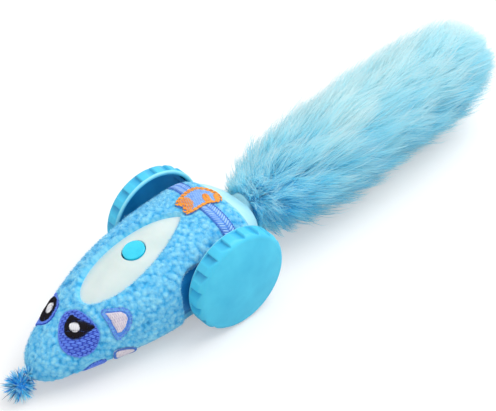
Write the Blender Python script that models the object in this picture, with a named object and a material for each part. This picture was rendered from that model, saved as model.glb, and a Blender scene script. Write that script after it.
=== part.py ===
"""Robotic mouse toy for cats: a fleece-covered body on two driven wheels, with a furry tail.

Metres, +Z up. The nose points to -Y and the mouse's left side is +X. While the pieces are made,
y = 0 and z = 0 are the line of the wheels' axles. The last step lifts the toy onto the floor at
z = 0 and moves it along Y, so that the origin ends up under the middle of its outline.
"""

import math

import bmesh
import bpy
from mathutils import Matrix, Vector

mm = 0.001

# Layers and clearances, from the outside in
FLEECE_THICKNESS = 2.4 * mm
SHELL_WALL = 1.8 * mm
CAP_WALL = 1.8 * mm
FIT_GAP = 0.3 * mm
CUT_OVERRUN = 4 * mm
SHELL_INSET = FLEECE_THICKNESS + FIT_GAP
SHELL_INNER = SHELL_INSET + SHELL_WALL

# Screws
SCREW_RADIUS = 1.1 * mm
SCREW_HEAD_RADIUS = 2 * mm
SCREW_HEAD_HEIGHT = 1.3 * mm
SCREW_THREAD_LENGTH = 7 * mm
BOSS_RADIUS = 3.1 * mm
BOSS_TO_WALL = 1.5 * mm
BOSS_CLEARANCE = 1.4 * mm
FRONT_SCREW_SHARE = 0.627
FRAME_SCREW_INSET = 5.5 * mm
FRAME_SCREW_LENGTH = 3.5 * mm

# Drive train
GEAR_MODULE = 0.5 * mm
WHEEL_GEAR_TEETH = 28
PINION_TEETH = 12
TOOTH_ADDENDUM_SHARE = 0.85
TOOTH_DEDENDUM_SHARE = 1.3
TOOTH_BACKLASH = 0.14 * mm
PRESSURE_ANGLE = math.radians(20)
MOTOR_ANGLE = math.radians(50)
PLATE_THICKNESS = 1.5 * mm
GEAR_FACE = 2.2 * mm
WHEEL_GEAR_FACE = 3 * mm
GEAR_SIDE_GAP = 0.7 * mm
IDLER_PIN_RADIUS = 0.8 * mm
MOTOR_RADIUS = 6 * mm
MOTOR_FLAT_HALF = 5 * mm
MOTOR_LENGTH = 15 * mm
MOTOR_END_ROOM = 1.3 * mm
MOTOR_BOSS_RADIUS = 2 * mm
MOTOR_BOSS_LENGTH = 1.2 * mm
MOTOR_SHAFT_RADIUS = 0.75 * mm
MOTOR_BORE_DEPTH = 4 * mm
FRAME_CORNER = 4 * mm
FRAME_FRONT_ROOM = 2.1 * mm
FRAME_TOP_ROOM = 2.3 * mm
SPACER_RADIUS = 1.4 * mm
SPACER_CLEARANCE = 1.1 * mm
SPACER_ANGLE = math.radians(45)

# Places of the drive train, worked out from its gears and motors
GEAR_DISTANCE = GEAR_MODULE * (WHEEL_GEAR_TEETH + PINION_TEETH) / 2
MOTOR_OFFSET_Y = GEAR_DISTANCE * (1 + math.cos(MOTOR_ANGLE))
MOTOR_OFFSET_Z = GEAR_DISTANCE * math.sin(MOTOR_ANGLE)
SPACER_REACH = GEAR_MODULE * (WHEEL_GEAR_TEETH / 2 + 1) + SPACER_CLEARANCE + SPACER_RADIUS
SPACER_OFFSET = SPACER_REACH * math.sin(SPACER_ANGLE)
FRAME_INNER_X = (MOTOR_LENGTH + FIT_GAP + MOTOR_END_ROOM) / 2
GEAR_COVER_X = FRAME_INNER_X + PLATE_THICKNESS + GEAR_FACE + WHEEL_GEAR_FACE + 3 * GEAR_SIDE_GAP
FRAME_FRONT_Y = -MOTOR_OFFSET_Y - MOTOR_RADIUS - FRAME_FRONT_ROOM
FRAME_REAR_Y = SPACER_OFFSET + SPACER_RADIUS + 2 * FIT_GAP
FRAME_BOTTOM_Z = -MOTOR_OFFSET_Z - MOTOR_FLAT_HALF - SCREW_HEAD_HEIGHT - 2 * FIT_GAP - PLATE_THICKNESS
FRAME_TOP_Z = MOTOR_OFFSET_Z + MOTOR_BOSS_RADIUS + FRAME_TOP_ROOM
COVER_PLATE_HALF = SPACER_OFFSET + SPACER_RADIUS + FIT_GAP
FRAME_SCREW_Y = FRAME_FRONT_Y + FRAME_SCREW_INSET

# Charging socket and belly pad
BELLY_PAD_LENGTH = 22 * mm
BELLY_PAD_WIDTH = 20 * mm
BELLY_PAD_Y = -8 * mm
BELLY_PAD_CORNER = 3 * mm
PAD_RECESS = 0.3 * mm
SOCKET_WIDTH = 8.9 * mm
SOCKET_HEIGHT = 3.3 * mm
SOCKET_DEPTH = 6.2 * mm
SOCKET_WALL = 0.35 * mm
CHARGE_BOARD_LENGTH = 10 * mm
CHARGE_BOARD_WIDTH = 14 * mm
BOARD_THICKNESS = 1.2 * mm
BOARD_CORNER = 1.5 * mm

# Body, as the outside of the fleece cover: it is wide and deep enough for the drive train
NOSE_REACH = 92.5 * mm
RUMP_REACH = 31 * mm
COVER_ROOM = 3.4 * mm
ROOF_ROOM = 4.3 * mm
BODY_WIDTH = 2 * (GEAR_COVER_X + PLATE_THICKNESS + COVER_ROOM + SHELL_INNER)
BELLY_Z = FRAME_BOTTOM_Z - SOCKET_DEPTH - 1.5 * PAD_RECESS
ROOF_Z = MOTOR_OFFSET_Z + MOTOR_RADIUS + ROOF_ROOM + SHELL_INNER
BODY_DEPTH = ROOF_Z - BELLY_Z
SECTION_MIDDLE_SHARE = 0.40
ROOF_SQUARENESS = 3.4
# along the body (-1 at the nose, 1 at the rump), half width, belly, roof, then the belly's squareness
BODY_SHARES = (
    (-1.000, 0.17, 0.107, 0.192, 2.0),
    (-0.968, 0.35, 0.067, 0.280, 2.0),
    (-0.908, 0.505, 0.040, 0.382, 2.05),
    (-0.832, 0.626, 0.025, 0.479, 2.15),
    (-0.627, 0.82, 0.003, 0.700, 2.45),
    (-0.476, 0.915, 0.003, 0.811, 2.65),
    (-0.324, 0.975, 0.005, 0.889, 2.8),
    (-0.130, 1.000, 0.005, 0.968, 2.8),
    (0.194, 1.000, 0.016, 1.000, 2.8),
    (0.580, 0.905, 0.105, 0.937, 2.8),
    (0.839, 0.66, 0.263, 0.811, 2.8),
    (1.000, 0.24, 0.505, 0.684, 2.8),
)

# Housing
COVER_REAR_SHARE = 0.55
CAP_STEP = 0.6 * mm
CAP_SPIGOT_LENGTH = 4 * mm
SPLIT_RISE = 11.6 * mm
COVER_REAR_Y = COVER_REAR_SHARE * RUMP_REACH
SHELL_SPLIT_Z = BELLY_Z + SPLIT_RISE

# Wheels
WHEEL_RADIUS = 25 * mm
WHEEL_GAP = 0.9 * mm
TREAD_WIDTH = 8.4 * mm
WHEEL_CROWN = 0.8 * mm
WHEEL_WALL = 2.1 * mm
WHEEL_FACE_THICKNESS = 2.2 * mm
RIB_COUNT = 18
RIB_DEPTH = 0.9 * mm
AXLE_RADIUS = 1.5 * mm
HUB_BOSS_RADIUS = 4.5 * mm
HUB_WEB = 1.8 * mm
HUB_RIM_DEPTH = 3.4 * mm
BUSH_RADIUS = 3.2 * mm
BUSH_FLANGE_RADIUS = 4.6 * mm
BUSH_FLANGE_THICKNESS = 0.8 * mm
ARCH_MARGIN = 3 * mm
ARCH_DROP = 12 * mm
ARCH_CORNER = 9 * mm
WHEEL_INNER_X = BODY_WIDTH / 2 + WHEEL_GAP
TREAD_OUTER_X = WHEEL_INNER_X + TREAD_WIDTH
ARCH_REACH = WHEEL_RADIUS - ARCH_MARGIN

# Light window, button and main board
WINDOW_FRONT_SHARE = 0.67
WINDOW_REAR_SHARE = 0.054
WINDOW_WIDTH = 25 * mm
WINDOW_SUNK_ENDS = 1.5 * mm
WINDOW_RISE = 2.2 * mm
WINDOW_CROWN = 3.3 * mm
WINDOW_THICKNESS = 1.8 * mm
WINDOW_FLANGE = 1.5 * mm
WINDOW_FLANGE_THICKNESS = 1 * mm
WINDOW_SEAT_GAP = 0.9 * mm
WINDOW_FRONT_POWER = 0.5
WINDOW_REAR_POWER = 0.8
BUTTON_RADIUS = 5.2 * mm
BUTTON_RISE = 1.3 * mm
BUTTON_GAP = 0.4 * mm
BUTTON_SKIRT = 3.1 * mm
BUTTON_FLANGE = 1.2 * mm
BUTTON_FLANGE_THICKNESS = 0.8 * mm
STEM_RADIUS = 1.9 * mm
SWITCH_SIZE = 6 * mm
SWITCH_HEIGHT = 3.5 * mm
PLUNGER_RADIUS = 1.7 * mm
PLUNGER_RISE = 0.6 * mm
PLUNGER_TRAVEL_ROOM = 1.3 * mm
PLUNGER_SUNK = 0.8 * mm
BOARD_DEPTH = 9 * mm
BOARD_WIDTH = 21 * mm
BOARD_REAR = 5 * mm
BOARD_CLEARANCE = 2.5 * mm
BOARD_FRONT_SHARE = 0.635
POST_RADIUS = 1.6 * mm
POST_EDGE = 0.2 * mm
LED_RADIUS = 1.5 * mm
LED_HEIGHT = 2.6 * mm
LED_SPACING = 7.5 * mm
LED_FORWARD_SHARE = 0.467
WINDOW_FRONT_Y = -WINDOW_FRONT_SHARE * NOSE_REACH
WINDOW_REAR_Y = -WINDOW_REAR_SHARE * NOSE_REACH
BUTTON_Y = FRAME_FRONT_Y - BOARD_CLEARANCE - BOARD_REAR
BOARD_FRONT = BOARD_FRONT_SHARE * (BUTTON_Y - WINDOW_FRONT_Y)
LED_FORWARD = LED_FORWARD_SHARE * (BUTTON_Y - WINDOW_FRONT_Y)

# Rechargeable cell, between the snout and the gear frame
CELL_WIDTH = 13.4 * mm
CELL_HEIGHT = 6 * mm
CELL_CORNER = 1.5 * mm
CELL_CLEARANCE = 3.5 * mm
CELL_FRONT_SHARE = 0.71
CELL_FRONT_Y = -CELL_FRONT_SHARE * NOSE_REACH
CELL_REAR_Y = FRAME_FRONT_Y - CELL_CLEARANCE

# Embroidery and belt
PATCH_THICKNESS = 0.8 * mm
PATCH_REACH_SHARES = (0.5, 1.0)
EYE_PLACE_SHARE = 0.778
EYE_TURN = math.radians(54)
EYE_LENGTH = 14.4 * mm
EYE_SWEEP = math.radians(66)
EYE_SQUARENESS = 2.6
EYE_POINTS = 14
EAR_PLACE_SHARE = 0.60
EAR_TURN = math.radians(36.5)
EAR_LENGTH = 9.5 * mm
EAR_SWEEP = math.radians(41)
# along the ear, across it: its corners as shares of its length and sweep
EAR_SHARES = (
    (-0.47, 0.50),
    (0.43, 0.18),
    (0.50, -0.10),
    (0.18, -0.38),
    (-0.37, -0.50),
    (-0.50, -0.02),
)
EAR_STEP_SHARES = (0.2, 0.75)
BELT_Y = 6 * mm
BELT_WIDTH = 7.2 * mm
BELT_HALF_ARC = math.radians(46)
FISH_X = 2 * mm
FISH_TURN = math.radians(67)
FISH_LENGTH = 19 * mm
FISH_HEIGHT = 13 * mm
# along the fish from its tail, half height
FISH_SHARES = (
    (0.00, 0.46),
    (0.12, 0.34),
    (0.24, 0.18),
    (0.40, 0.38),
    (0.60, 0.50),
    (0.80, 0.42),
    (0.93, 0.24),
)
EYE_Y = -EYE_PLACE_SHARE * NOSE_REACH
EAR_Y = -EAR_PLACE_SHARE * NOSE_REACH

# Nose
TINSEL_RADIUS = 4.2 * mm
TINSEL_REACH = 7 * mm
TINSEL_ABOVE_BELLY = 3.5 * mm
TINSEL_AHEAD = 7 * mm
TINSEL_CLEARANCE = 0.3 * mm
NOSE_PIN_RADIUS = 1 * mm
NOSE_PIN_LENGTH = 14.8 * mm
NOSE_PIN_HEAD_RADIUS = 1.5 * mm
NOSE_PIN_HEAD = 0.8 * mm
NOSE_PIN_SLANT = math.radians(21)
TINSEL_CENTRE_Y = -NOSE_REACH - TINSEL_AHEAD
TINSEL_CENTRE_Z = BELLY_Z + TINSEL_ABOVE_BELLY

# Tail
TAIL_Z = 5 * mm
PIVOT_PAST_RUMP = 2 * mm
TUBE_PAST_PIVOT = 2.5 * mm
TAIL_LENGTH = 174 * mm
TAIL_RADIUS = 26.5 * mm
TAIL_SKIN = 1.4 * mm
TAIL_WIRE_RADIUS = 0.6 * mm
TAIL_BEAD_RADIUS = 1.7 * mm
WIRE_SHORT_OF_TIP = 17 * mm
SOCKET_TUBE_RADIUS = 6.5 * mm
SOCKET_TUBE_LENGTH = 6.5 * mm
GROMMET_RADIUS = 4 * mm
COLLAR_START = 3.9 * mm
COLLAR_LENGTH = 9 * mm
COLLAR_RADIUS = 4.5 * mm
# along the tail from its mouth to its end, radius
TAIL_SHARES = (
    (0.00, 0.25),
    (0.035, 0.55),
    (0.09, 0.76),
    (0.16, 0.90),
    (0.26, 0.98),
    (0.40, 1.00),
    (0.55, 1.00),
    (0.70, 0.97),
    (0.82, 0.89),
    (0.91, 0.74),
    (0.965, 0.52),
    (0.99, 0.28),
)
TAIL_PIVOT_Y = RUMP_REACH + PIVOT_PAST_RUMP
TUBE_END_Y = TAIL_PIVOT_Y + TUBE_PAST_PIVOT

# Fineness of the round forms
STATION_ROOM = 1.2 * mm
BODY_SIDES = 20
SHELL_SIDES = 20
WINDOW_SIDES = 24
POINTS_PER_RIB = 3
ROUND_SIDES = 16
SMALL_SIDES = 8
TAIL_SIDES = 18
CORNER_STEPS = 2


# Scene and mesh helpers


def clear_scene():
    for thing in list(bpy.data.objects):
        bpy.data.objects.remove(thing, do_unlink=True)


def make_material(name, colour, roughness, metallic=0.0):
    material = bpy.data.materials.new(name)
    material.use_nodes = True
    shader = material.node_tree.nodes["Principled BSDF"]
    shader.inputs["Base Color"].default_value = (*colour, 1.0)
    shader.inputs["Roughness"].default_value = roughness
    shader.inputs["Metallic"].default_value = metallic
    return material


def add_object(name, mesh, material=None, parent=None):
    piece = bpy.data.objects.new(name, mesh)
    bpy.context.scene.collection.objects.link(piece)
    if material is not None:
        mesh.materials.append(material)
    if parent is not None:
        piece.parent = parent
    return piece


def add_empty(name, place, parent=None, tilt=0.0):
    empty = bpy.data.objects.new(name, None)
    empty.location = place
    empty.rotation_euler = (tilt, 0.0, 0.0)
    empty.parent = parent
    bpy.context.scene.collection.objects.link(empty)
    return empty


def finish_mesh(name, builder, sharp=math.radians(35)):
    bmesh.ops.recalc_face_normals(builder, faces=builder.faces)
    if builder.calc_volume(signed=True) < 0:
        bmesh.ops.reverse_faces(builder, faces=builder.faces)
    mesh = bpy.data.meshes.new(name)
    builder.to_mesh(mesh)
    builder.free()
    mesh.shade_smooth()
    mesh.set_sharp_from_angle(angle=sharp)
    return mesh


def split_quad(one, other, i, j):
    """Two triangles whose shared edge runs the same way on every skin of the body, mirrored at x = 0."""
    front, rear = (one, other) if one[0].co.y < other[0].co.y else (other, one)
    if front[i].co.x + front[j].co.x < 0:
        i, j = j, i
    return (front[i], front[j], rear[j]), (front[i], rear[j], rear[i])


def tube_mesh(name, rings, closed=False, curved_ends=False, split=False):
    """Rings of points joined in turn. Flat ends get one face each, curved ones a fan; closed joins last to first."""
    builder = bmesh.new()
    rows = [[builder.verts.new(point) for point in ring] for ring in rings]
    pairs = list(zip(rows, rows[1:]))
    if closed:
        pairs.append((rows[-1], rows[0]))
    for one, other in pairs:
        count = len(one)
        for i in range(count):
            j = (i + 1) % count
            quad = (one[i], one[j], other[j], other[i])
            for corners in split_quad(one, other, i, j) if split else (quad,):
                builder.faces.new(corners)
    for row in () if closed else (rows[0], rows[-1]):
        if not curved_ends:
            builder.faces.new(row)
            continue
        centre = builder.verts.new(sum((v.co for v in row), Vector()) / len(row))
        for i, vertex in enumerate(row):
            builder.faces.new((vertex, row[(i + 1) % len(row)], centre))
    return finish_mesh(name, builder)


def turned_mesh(name, profile, sides, closed=False, bumps=None):
    """A profile of (along, radius) turned about X. Where closed, the profile is a loop with no end on the axis."""
    rings = []
    for k, (along, radius) in enumerate(profile):
        ring = []
        for i in range(sides):
            angle = 2 * math.pi * i / sides
            reach = radius
            if bumps is not None:
                reach = radius - bumps(k, i)
            ring.append((along, reach * math.cos(angle), reach * math.sin(angle)))
        rings.append(ring)
    return tube_mesh(name, rings, closed)


def along_y(mesh):
    """Turns a mesh made about X so that its axis is Y."""
    mesh.transform(Matrix(((0, -1, 0, 0), (1, 0, 0, 0), (0, 0, 1, 0), (0, 0, 0, 1))))
    return mesh


def along_z(mesh):
    """Turns a mesh made about X so that its axis is Z."""
    mesh.transform(Matrix(((0, 0, -1, 0), (0, 1, 0, 0), (1, 0, 0, 0), (0, 0, 0, 1))))
    return mesh


def extruded_mesh(name, outline, low, high):
    """An outline of (y, z) points made into a plate from x = low to x = high."""
    builder = bmesh.new()
    floor = [builder.verts.new((low, y, z)) for y, z in outline]
    roof = [builder.verts.new((high, y, z)) for y, z in outline]
    builder.faces.new(floor)
    builder.faces.new(roof)
    count = len(outline)
    for i in range(count):
        j = (i + 1) % count
        builder.faces.new((floor[i], floor[j], roof[j], roof[i]))
    return finish_mesh(name, builder)


def rounded_rectangle(low, high, corner):
    """Points of a rectangle with round corners, from its low and high corners."""
    points = []
    centres = (
        (high[0] - corner, high[1] - corner, 0),
        (low[0] + corner, high[1] - corner, 1),
        (low[0] + corner, low[1] + corner, 2),
        (high[0] - corner, low[1] + corner, 3),
    )
    for x, y, quarter in centres:
        for step in range(CORNER_STEPS + 1):
            angle = (quarter + step / CORNER_STEPS) * math.pi / 2
            points.append((x + corner * math.cos(angle), y + corner * math.sin(angle)))
    return points


def make_cutter(name, mesh, parent):
    cutter = add_object(name, mesh, None, parent)
    cutter.display_type = "WIRE"
    cutter.hide_render = True
    return cutter


def combine(piece, tool, operation):
    change = piece.modifiers.new(tool.name, "BOOLEAN")
    change.solver = "EXACT"
    change.operation = operation
    change.object = tool
    return piece


def cut(piece, tool):
    return combine(piece, tool, "DIFFERENCE")


def fuse(piece, tool):
    return combine(piece, tool, "UNION")


def rod_mesh(name, low, high, radius, y=0.0, z=0.0, sides=SMALL_SIDES):
    """A round bar along X from low to high."""
    mesh = turned_mesh(name, ((low, radius), (high, radius)), sides)
    mesh.transform(Matrix.Translation((0.0, y, z)))
    return mesh


def post_mesh(name, x, y, low, high, radius, sides=SMALL_SIDES):
    """A round upright bar from z = low to z = high."""
    mesh = along_z(turned_mesh(name, ((low, radius), (high, radius)), sides))
    mesh.transform(Matrix.Translation((x, y, 0.0)))
    return mesh


# The body's form


def smooth_value(places, values, place):
    """Reads a value at a place, on a smooth curve that never overshoots its points."""
    steps = [b - a for a, b in zip(places, places[1:])]
    rises = [(b - a) / step for a, b, step in zip(values, values[1:], steps)]
    slopes = [rises[0]]
    for before, after in zip(rises, rises[1:]):
        slopes.append(0.0 if before * after <= 0 else 2 * before * after / (before + after))
    slopes.append(rises[-1])
    place = min(max(place, places[0]), places[-1])
    k = 0
    while k < len(steps) - 1 and place > places[k + 1]:
        k += 1
    t = (place - places[k]) / steps[k]
    return (
        values[k] * (1 + 2 * t) * (1 - t) ** 2
        + slopes[k] * steps[k] * t * (1 - t) ** 2
        + values[k + 1] * t * t * (3 - 2 * t)
        + slopes[k + 1] * steps[k] * t * t * (t - 1)
    )


def body_station(share):
    """The place of a row of the body's shares: the nose's reach scales the front, the rump's the rear."""
    return share * (RUMP_REACH if share > 0 else NOSE_REACH)


BODY_PLACES = [body_station(row[0]) for row in BODY_SHARES]


def body_value(column, y):
    return smooth_value(BODY_PLACES, [row[column] for row in BODY_SHARES], y)


def body_section(y, inset=0.0):
    """Half width, belly height, middle height and roof height of the body at y, drawn in by inset."""
    half = BODY_WIDTH / 2 * body_value(1, y)
    belly = BELLY_Z + BODY_DEPTH * body_value(2, y)
    roof = BELLY_Z + BODY_DEPTH * body_value(3, y)
    middle = belly + SECTION_MIDDLE_SHARE * (roof - belly)
    return half - inset, belly + inset, middle, roof - inset


def body_point(y, angle, inset=0.0):
    """A point of the body's section at y, in the direction of angle from its middle, 0 being +X."""
    half, belly, middle, roof = body_section(y, inset)
    c, s = math.cos(angle), math.sin(angle)
    rise, power = (roof - middle, ROOF_SQUARENESS) if s > 0 else (middle - belly, body_value(4, y))
    reach = (abs(c / half) ** power + abs(s / rise) ** power) ** (-1 / power)
    return (reach * c, y, middle + reach * s)


def roof_height(x, y, inset=0.0):
    half, _, middle, roof = body_section(y, inset)
    share = min(abs(x) / half, 0.999)
    return middle + (roof - middle) * (1 - share**ROOF_SQUARENESS) ** (1 / ROOF_SQUARENESS)


def floor_height(x, y, inset=0.0):
    half, belly, middle, _ = body_section(y, inset)
    share = min(abs(x) / half, 0.999)
    power = body_value(4, y)
    return middle - (middle - belly) * (1 - share**power) ** (1 / power)


def station_places(front, rear):
    """The body's stations between front and rear, and the belt's edges, so that the belt lies flat on it."""
    belt = [BELT_Y - BELT_WIDTH / 2, BELT_Y + BELT_WIDTH / 2]
    inner = sorted([y for y in BODY_PLACES if not belt[0] < y < belt[1]] + belt)
    return [front] + [y for y in inner if front + STATION_ROOM < y < rear - STATION_ROOM] + [rear]


def body_rings(front, rear, inset, sides):
    turn = [2 * math.pi * (i + 0.5) / sides for i in range(sides)]
    return [[body_point(y, angle, inset) for angle in turn] for y in station_places(front, rear)]


def skin_mesh(name, rear, outer, wall, sides):
    """A cup that follows the body, open at the rear: its outer side, then back along its inner side."""
    nose = -NOSE_REACH
    outside = body_rings(nose + outer, rear, outer, sides)
    inside = body_rings(nose + outer + wall, rear, outer + wall, sides)
    return tube_mesh(name, outside + inside[::-1], split=True)


# The light window's form


def window_share(y):
    return (y - WINDOW_FRONT_Y) / (WINDOW_REAR_Y - WINDOW_FRONT_Y)


def window_half(share):
    peak = WINDOW_FRONT_POWER / (WINDOW_FRONT_POWER + WINDOW_REAR_POWER)
    most = peak**WINDOW_FRONT_POWER * (1 - peak) ** WINDOW_REAR_POWER
    return WINDOW_WIDTH / 2 * share**WINDOW_FRONT_POWER * (1 - share) ** WINDOW_REAR_POWER / most


def window_outline(offset=0.0):
    """The window's rim in plan as (x, y) points, moved outwards by offset."""
    length = WINDOW_REAR_Y - WINDOW_FRONT_Y
    points = []
    for i in range(WINDOW_SIDES):
        angle = 2 * math.pi * i / WINDOW_SIDES
        share = (1 - math.cos(angle)) / 2
        side = 1 if angle <= math.pi else -1
        points.append(Vector((side * window_half(share), WINDOW_FRONT_Y + share * length)))
    moved = []
    for i, point in enumerate(points):
        along = points[(i + 1) % WINDOW_SIDES] - points[i - 1]
        outward = Vector((along.y, -along.x)).normalized()
        moved.append(point + outward * offset)
    return moved


def window_top(x, y):
    share = min(max(window_share(y), 0.0), 1.0)
    ridge = body_section(y)[3] - WINDOW_SUNK_ENDS + WINDOW_RISE * math.sin(math.pi * share)
    return ridge - WINDOW_CROWN * (2 * x / WINDOW_WIDTH) ** 2


def window_slope():
    step = WINDOW_THICKNESS
    rise = window_top(0.0, BUTTON_Y + step) - window_top(0.0, BUTTON_Y - step)
    return math.atan2(rise, 2 * step)


def prism_mesh(name, outline, low, high):
    """An outline of (x, y) points made upright from z = low to z = high."""
    builder = bmesh.new()
    floor = [builder.verts.new((x, y, low)) for x, y in outline]
    roof = [builder.verts.new((x, y, high)) for x, y in outline]
    builder.faces.new(floor)
    builder.faces.new(roof)
    for i in range(len(outline)):
        j = (i + 1) % len(outline)
        builder.faces.new((floor[i], floor[j], roof[j], roof[i]))
    return finish_mesh(name, builder)


# Housing


def boss(parent, name, x, y, low, high):
    return make_cutter(name, post_mesh(name, x, y, low, high, BOSS_RADIUS), parent)


def boss_foot(x, y, radius):
    """The lowest height at which a post's whole foot is inside the belly pan's outer face."""
    reach = abs(x) + radius
    return max(floor_height(reach, y + step, SHELL_INSET) for step in (-radius, 0.0, radius)) + FIT_GAP


def boss_head(x, y, radius):
    """The greatest height at which a post's whole head is inside the roof's outer face."""
    reach = abs(x) + radius
    return min(roof_height(reach, y + step, SHELL_INSET) for step in (-radius, 0.0, radius)) - FIT_GAP


def screw_hole(parent, name, x, y, low, high):
    radius = SCREW_RADIUS + FIT_GAP
    return make_cutter(name, post_mesh(name, x, y, low, high, radius), parent)


def case_screw_places():
    """One pair of screws under the snout and one ahead of the gear frame, each boss near the side wall."""
    places = []
    for y in (-FRONT_SCREW_SHARE * NOSE_REACH, FRAME_FRONT_Y - BOSS_CLEARANCE - BOSS_RADIUS):
        x = body_section(y, SHELL_INNER)[0] - BOSS_TO_WALL - BOSS_RADIUS
        places += [(-x, y), (x, y)]
    return places


def shell_half(name, material, parent, low, high):
    """One half of the housing: the shared cup, kept between two heights."""
    cup = skin_mesh(name, COVER_REAR_Y, SHELL_INSET, SHELL_WALL, SHELL_SIDES)
    half = add_object(name, cup, material, parent)
    outline = rounded_rectangle(
        (-BODY_WIDTH, -NOSE_REACH - CUT_OVERRUN),
        (BODY_WIDTH, COVER_REAR_Y + CUT_OVERRUN),
        CUT_OVERRUN,
    )
    keeper = make_cutter(name + "_keeper", prism_mesh(name + "_keeper", outline, low, high), parent)
    return combine(half, keeper, "INTERSECT")


def make_bush_hole(shell, parent, name, side):
    low, high = side * (BODY_WIDTH / 2 - SHELL_INNER - CUT_OVERRUN), side * (BODY_WIDTH / 2 + CUT_OVERRUN)
    mesh = rod_mesh(name, min(low, high), max(low, high), BUSH_RADIUS + FIT_GAP, sides=ROUND_SIDES)
    return cut(shell, make_cutter(name, mesh, parent))


def board_under(y):
    """Height of the main board's underside over y, on the toy's middle line."""
    tilt = window_slope()
    deep = BOARD_DEPTH + BOARD_THICKNESS
    origin_y = BUTTON_Y + deep * math.sin(tilt)
    origin_z = window_top(0.0, BUTTON_Y) - deep * math.cos(tilt)
    return origin_z + (y - origin_y) * math.tan(tilt)


def board_post_places():
    tilt = window_slope()
    middle = BUTTON_Y + (BOARD_DEPTH + BOARD_THICKNESS) * math.sin(tilt)
    front = middle - (BOARD_FRONT - 2 * POST_RADIUS) * math.cos(tilt)
    rear = middle + (BOARD_REAR - 2 * POST_RADIUS) * math.cos(tilt)
    x = BOARD_WIDTH / 2 - POST_RADIUS - POST_EDGE
    return [(side * x, y) for y in (front, rear) for side in (-1, 1)]


def make_lower_shell(material, parent):
    shell = shell_half("lower_shell", material, parent, BELLY_Z - CUT_OVERRUN, SHELL_SPLIT_Z - FIT_GAP / 2)
    embed = SHELL_INSET + SHELL_WALL / 2
    pad_low = floor_height(0.0, BELLY_PAD_Y) + PAD_RECESS
    outline = rounded_rectangle(
        (-BELLY_PAD_WIDTH / 2, BELLY_PAD_Y - BELLY_PAD_LENGTH / 2),
        (BELLY_PAD_WIDTH / 2, BELLY_PAD_Y + BELLY_PAD_LENGTH / 2),
        BELLY_PAD_CORNER,
    )
    pad_high = floor_height(0.0, BELLY_PAD_Y, embed)
    fuse(shell, make_cutter("belly_pad", prism_mesh("belly_pad", outline, pad_low, pad_high), parent))
    for k, (x, y) in enumerate(case_screw_places()):
        low = boss_foot(x, y, BOSS_RADIUS)
        name = "lower_boss_%d" % k
        fuse(shell, boss(parent, name, x, y, low, SHELL_SPLIT_Z - FIT_GAP))
    for k, (x, y) in enumerate(board_post_places()):
        top = min(board_under(y - POST_RADIUS), board_under(y + POST_RADIUS)) - FIT_GAP
        name = "board_post_%d" % k
        low = boss_foot(x, y, POST_RADIUS)
        fuse(shell, make_cutter(name, post_mesh(name, x, y, low, top, POST_RADIUS), parent))
    for k, side in enumerate((-1, 1)):
        name = "frame_pad_%d" % k
        low = floor_height(0.0, FRAME_SCREW_Y, embed)
        place = side * FRAME_INNER_X / 2
        fuse(shell, boss(parent, name, place, FRAME_SCREW_Y, low, FRAME_BOTTOM_Z - FIT_GAP))
        hole = screw_hole(
            parent, name + "_hole", place, FRAME_SCREW_Y, FRAME_BOTTOM_Z - FRAME_SCREW_LENGTH, FRAME_BOTTOM_Z
        )
        cut(shell, hole)
    for k, (x, y) in enumerate(case_screw_places()):
        seat = case_screw_seat(x, y)
        name = "lower_screw_hole_%d" % k
        cut(shell, screw_hole(parent, name, x, y, BELLY_Z - CUT_OVERRUN, SHELL_SPLIT_Z + CUT_OVERRUN))
        name = "screw_recess_%d" % k
        radius = SCREW_HEAD_RADIUS + FIT_GAP
        cut(shell, make_cutter(name, post_mesh(name, x, y, BELLY_Z - CUT_OVERRUN, seat, radius), parent))
    slot = rounded_rectangle(
        (-SOCKET_WIDTH / 2 - FIT_GAP, BELLY_PAD_Y - SOCKET_HEIGHT / 2 - FIT_GAP),
        (SOCKET_WIDTH / 2 + FIT_GAP, BELLY_PAD_Y + SOCKET_HEIGHT / 2 + FIT_GAP),
        SOCKET_HEIGHT / 2,
    )
    mesh = prism_mesh("socket_slot", slot, BELLY_Z - CUT_OVERRUN, SHELL_SPLIT_Z)
    cut(shell, make_cutter("socket_slot", mesh, parent))
    return shell


def case_screw_seat(x, y):
    """Height of the face that a case screw's head pulls against."""
    return floor_height(x, y, SHELL_INSET) + SCREW_HEAD_HEIGHT + SHELL_WALL


def make_upper_shell(material, parent):
    shell = shell_half("upper_shell", material, parent, SHELL_SPLIT_Z + FIT_GAP / 2, ROOF_Z + CUT_OVERRUN)
    for k, (x, y) in enumerate(case_screw_places()):
        name = "upper_boss_%d" % k
        fuse(shell, boss(parent, name, x, y, SHELL_SPLIT_Z + FIT_GAP, boss_head(x, y, BOSS_RADIUS)))
    for k, (x, y) in enumerate(case_screw_places()):
        top = case_screw_seat(x, y) + SCREW_THREAD_LENGTH + FIT_GAP
        cut(shell, screw_hole(parent, "upper_screw_hole_%d" % k, x, y, SHELL_SPLIT_Z - CUT_OVERRUN, top))
    low, high = SHELL_SPLIT_Z + CUT_OVERRUN, ROOF_Z + CUT_OVERRUN
    opening = prism_mesh("window_opening", window_outline(FIT_GAP), low, high)
    cut(shell, make_cutter("window_opening", opening, parent))
    for side in (-1, 1):
        make_bush_hole(shell, parent, "bush_hole_%d" % side, side)
    return shell


def make_case_screws(material, parent):
    for k, (x, y) in enumerate(case_screw_places()):
        seat = case_screw_seat(x, y) - FIT_GAP
        make_screw("case_screw_%d" % (k + 1), material, parent, x, y, seat, SCREW_THREAD_LENGTH, -1)


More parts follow.
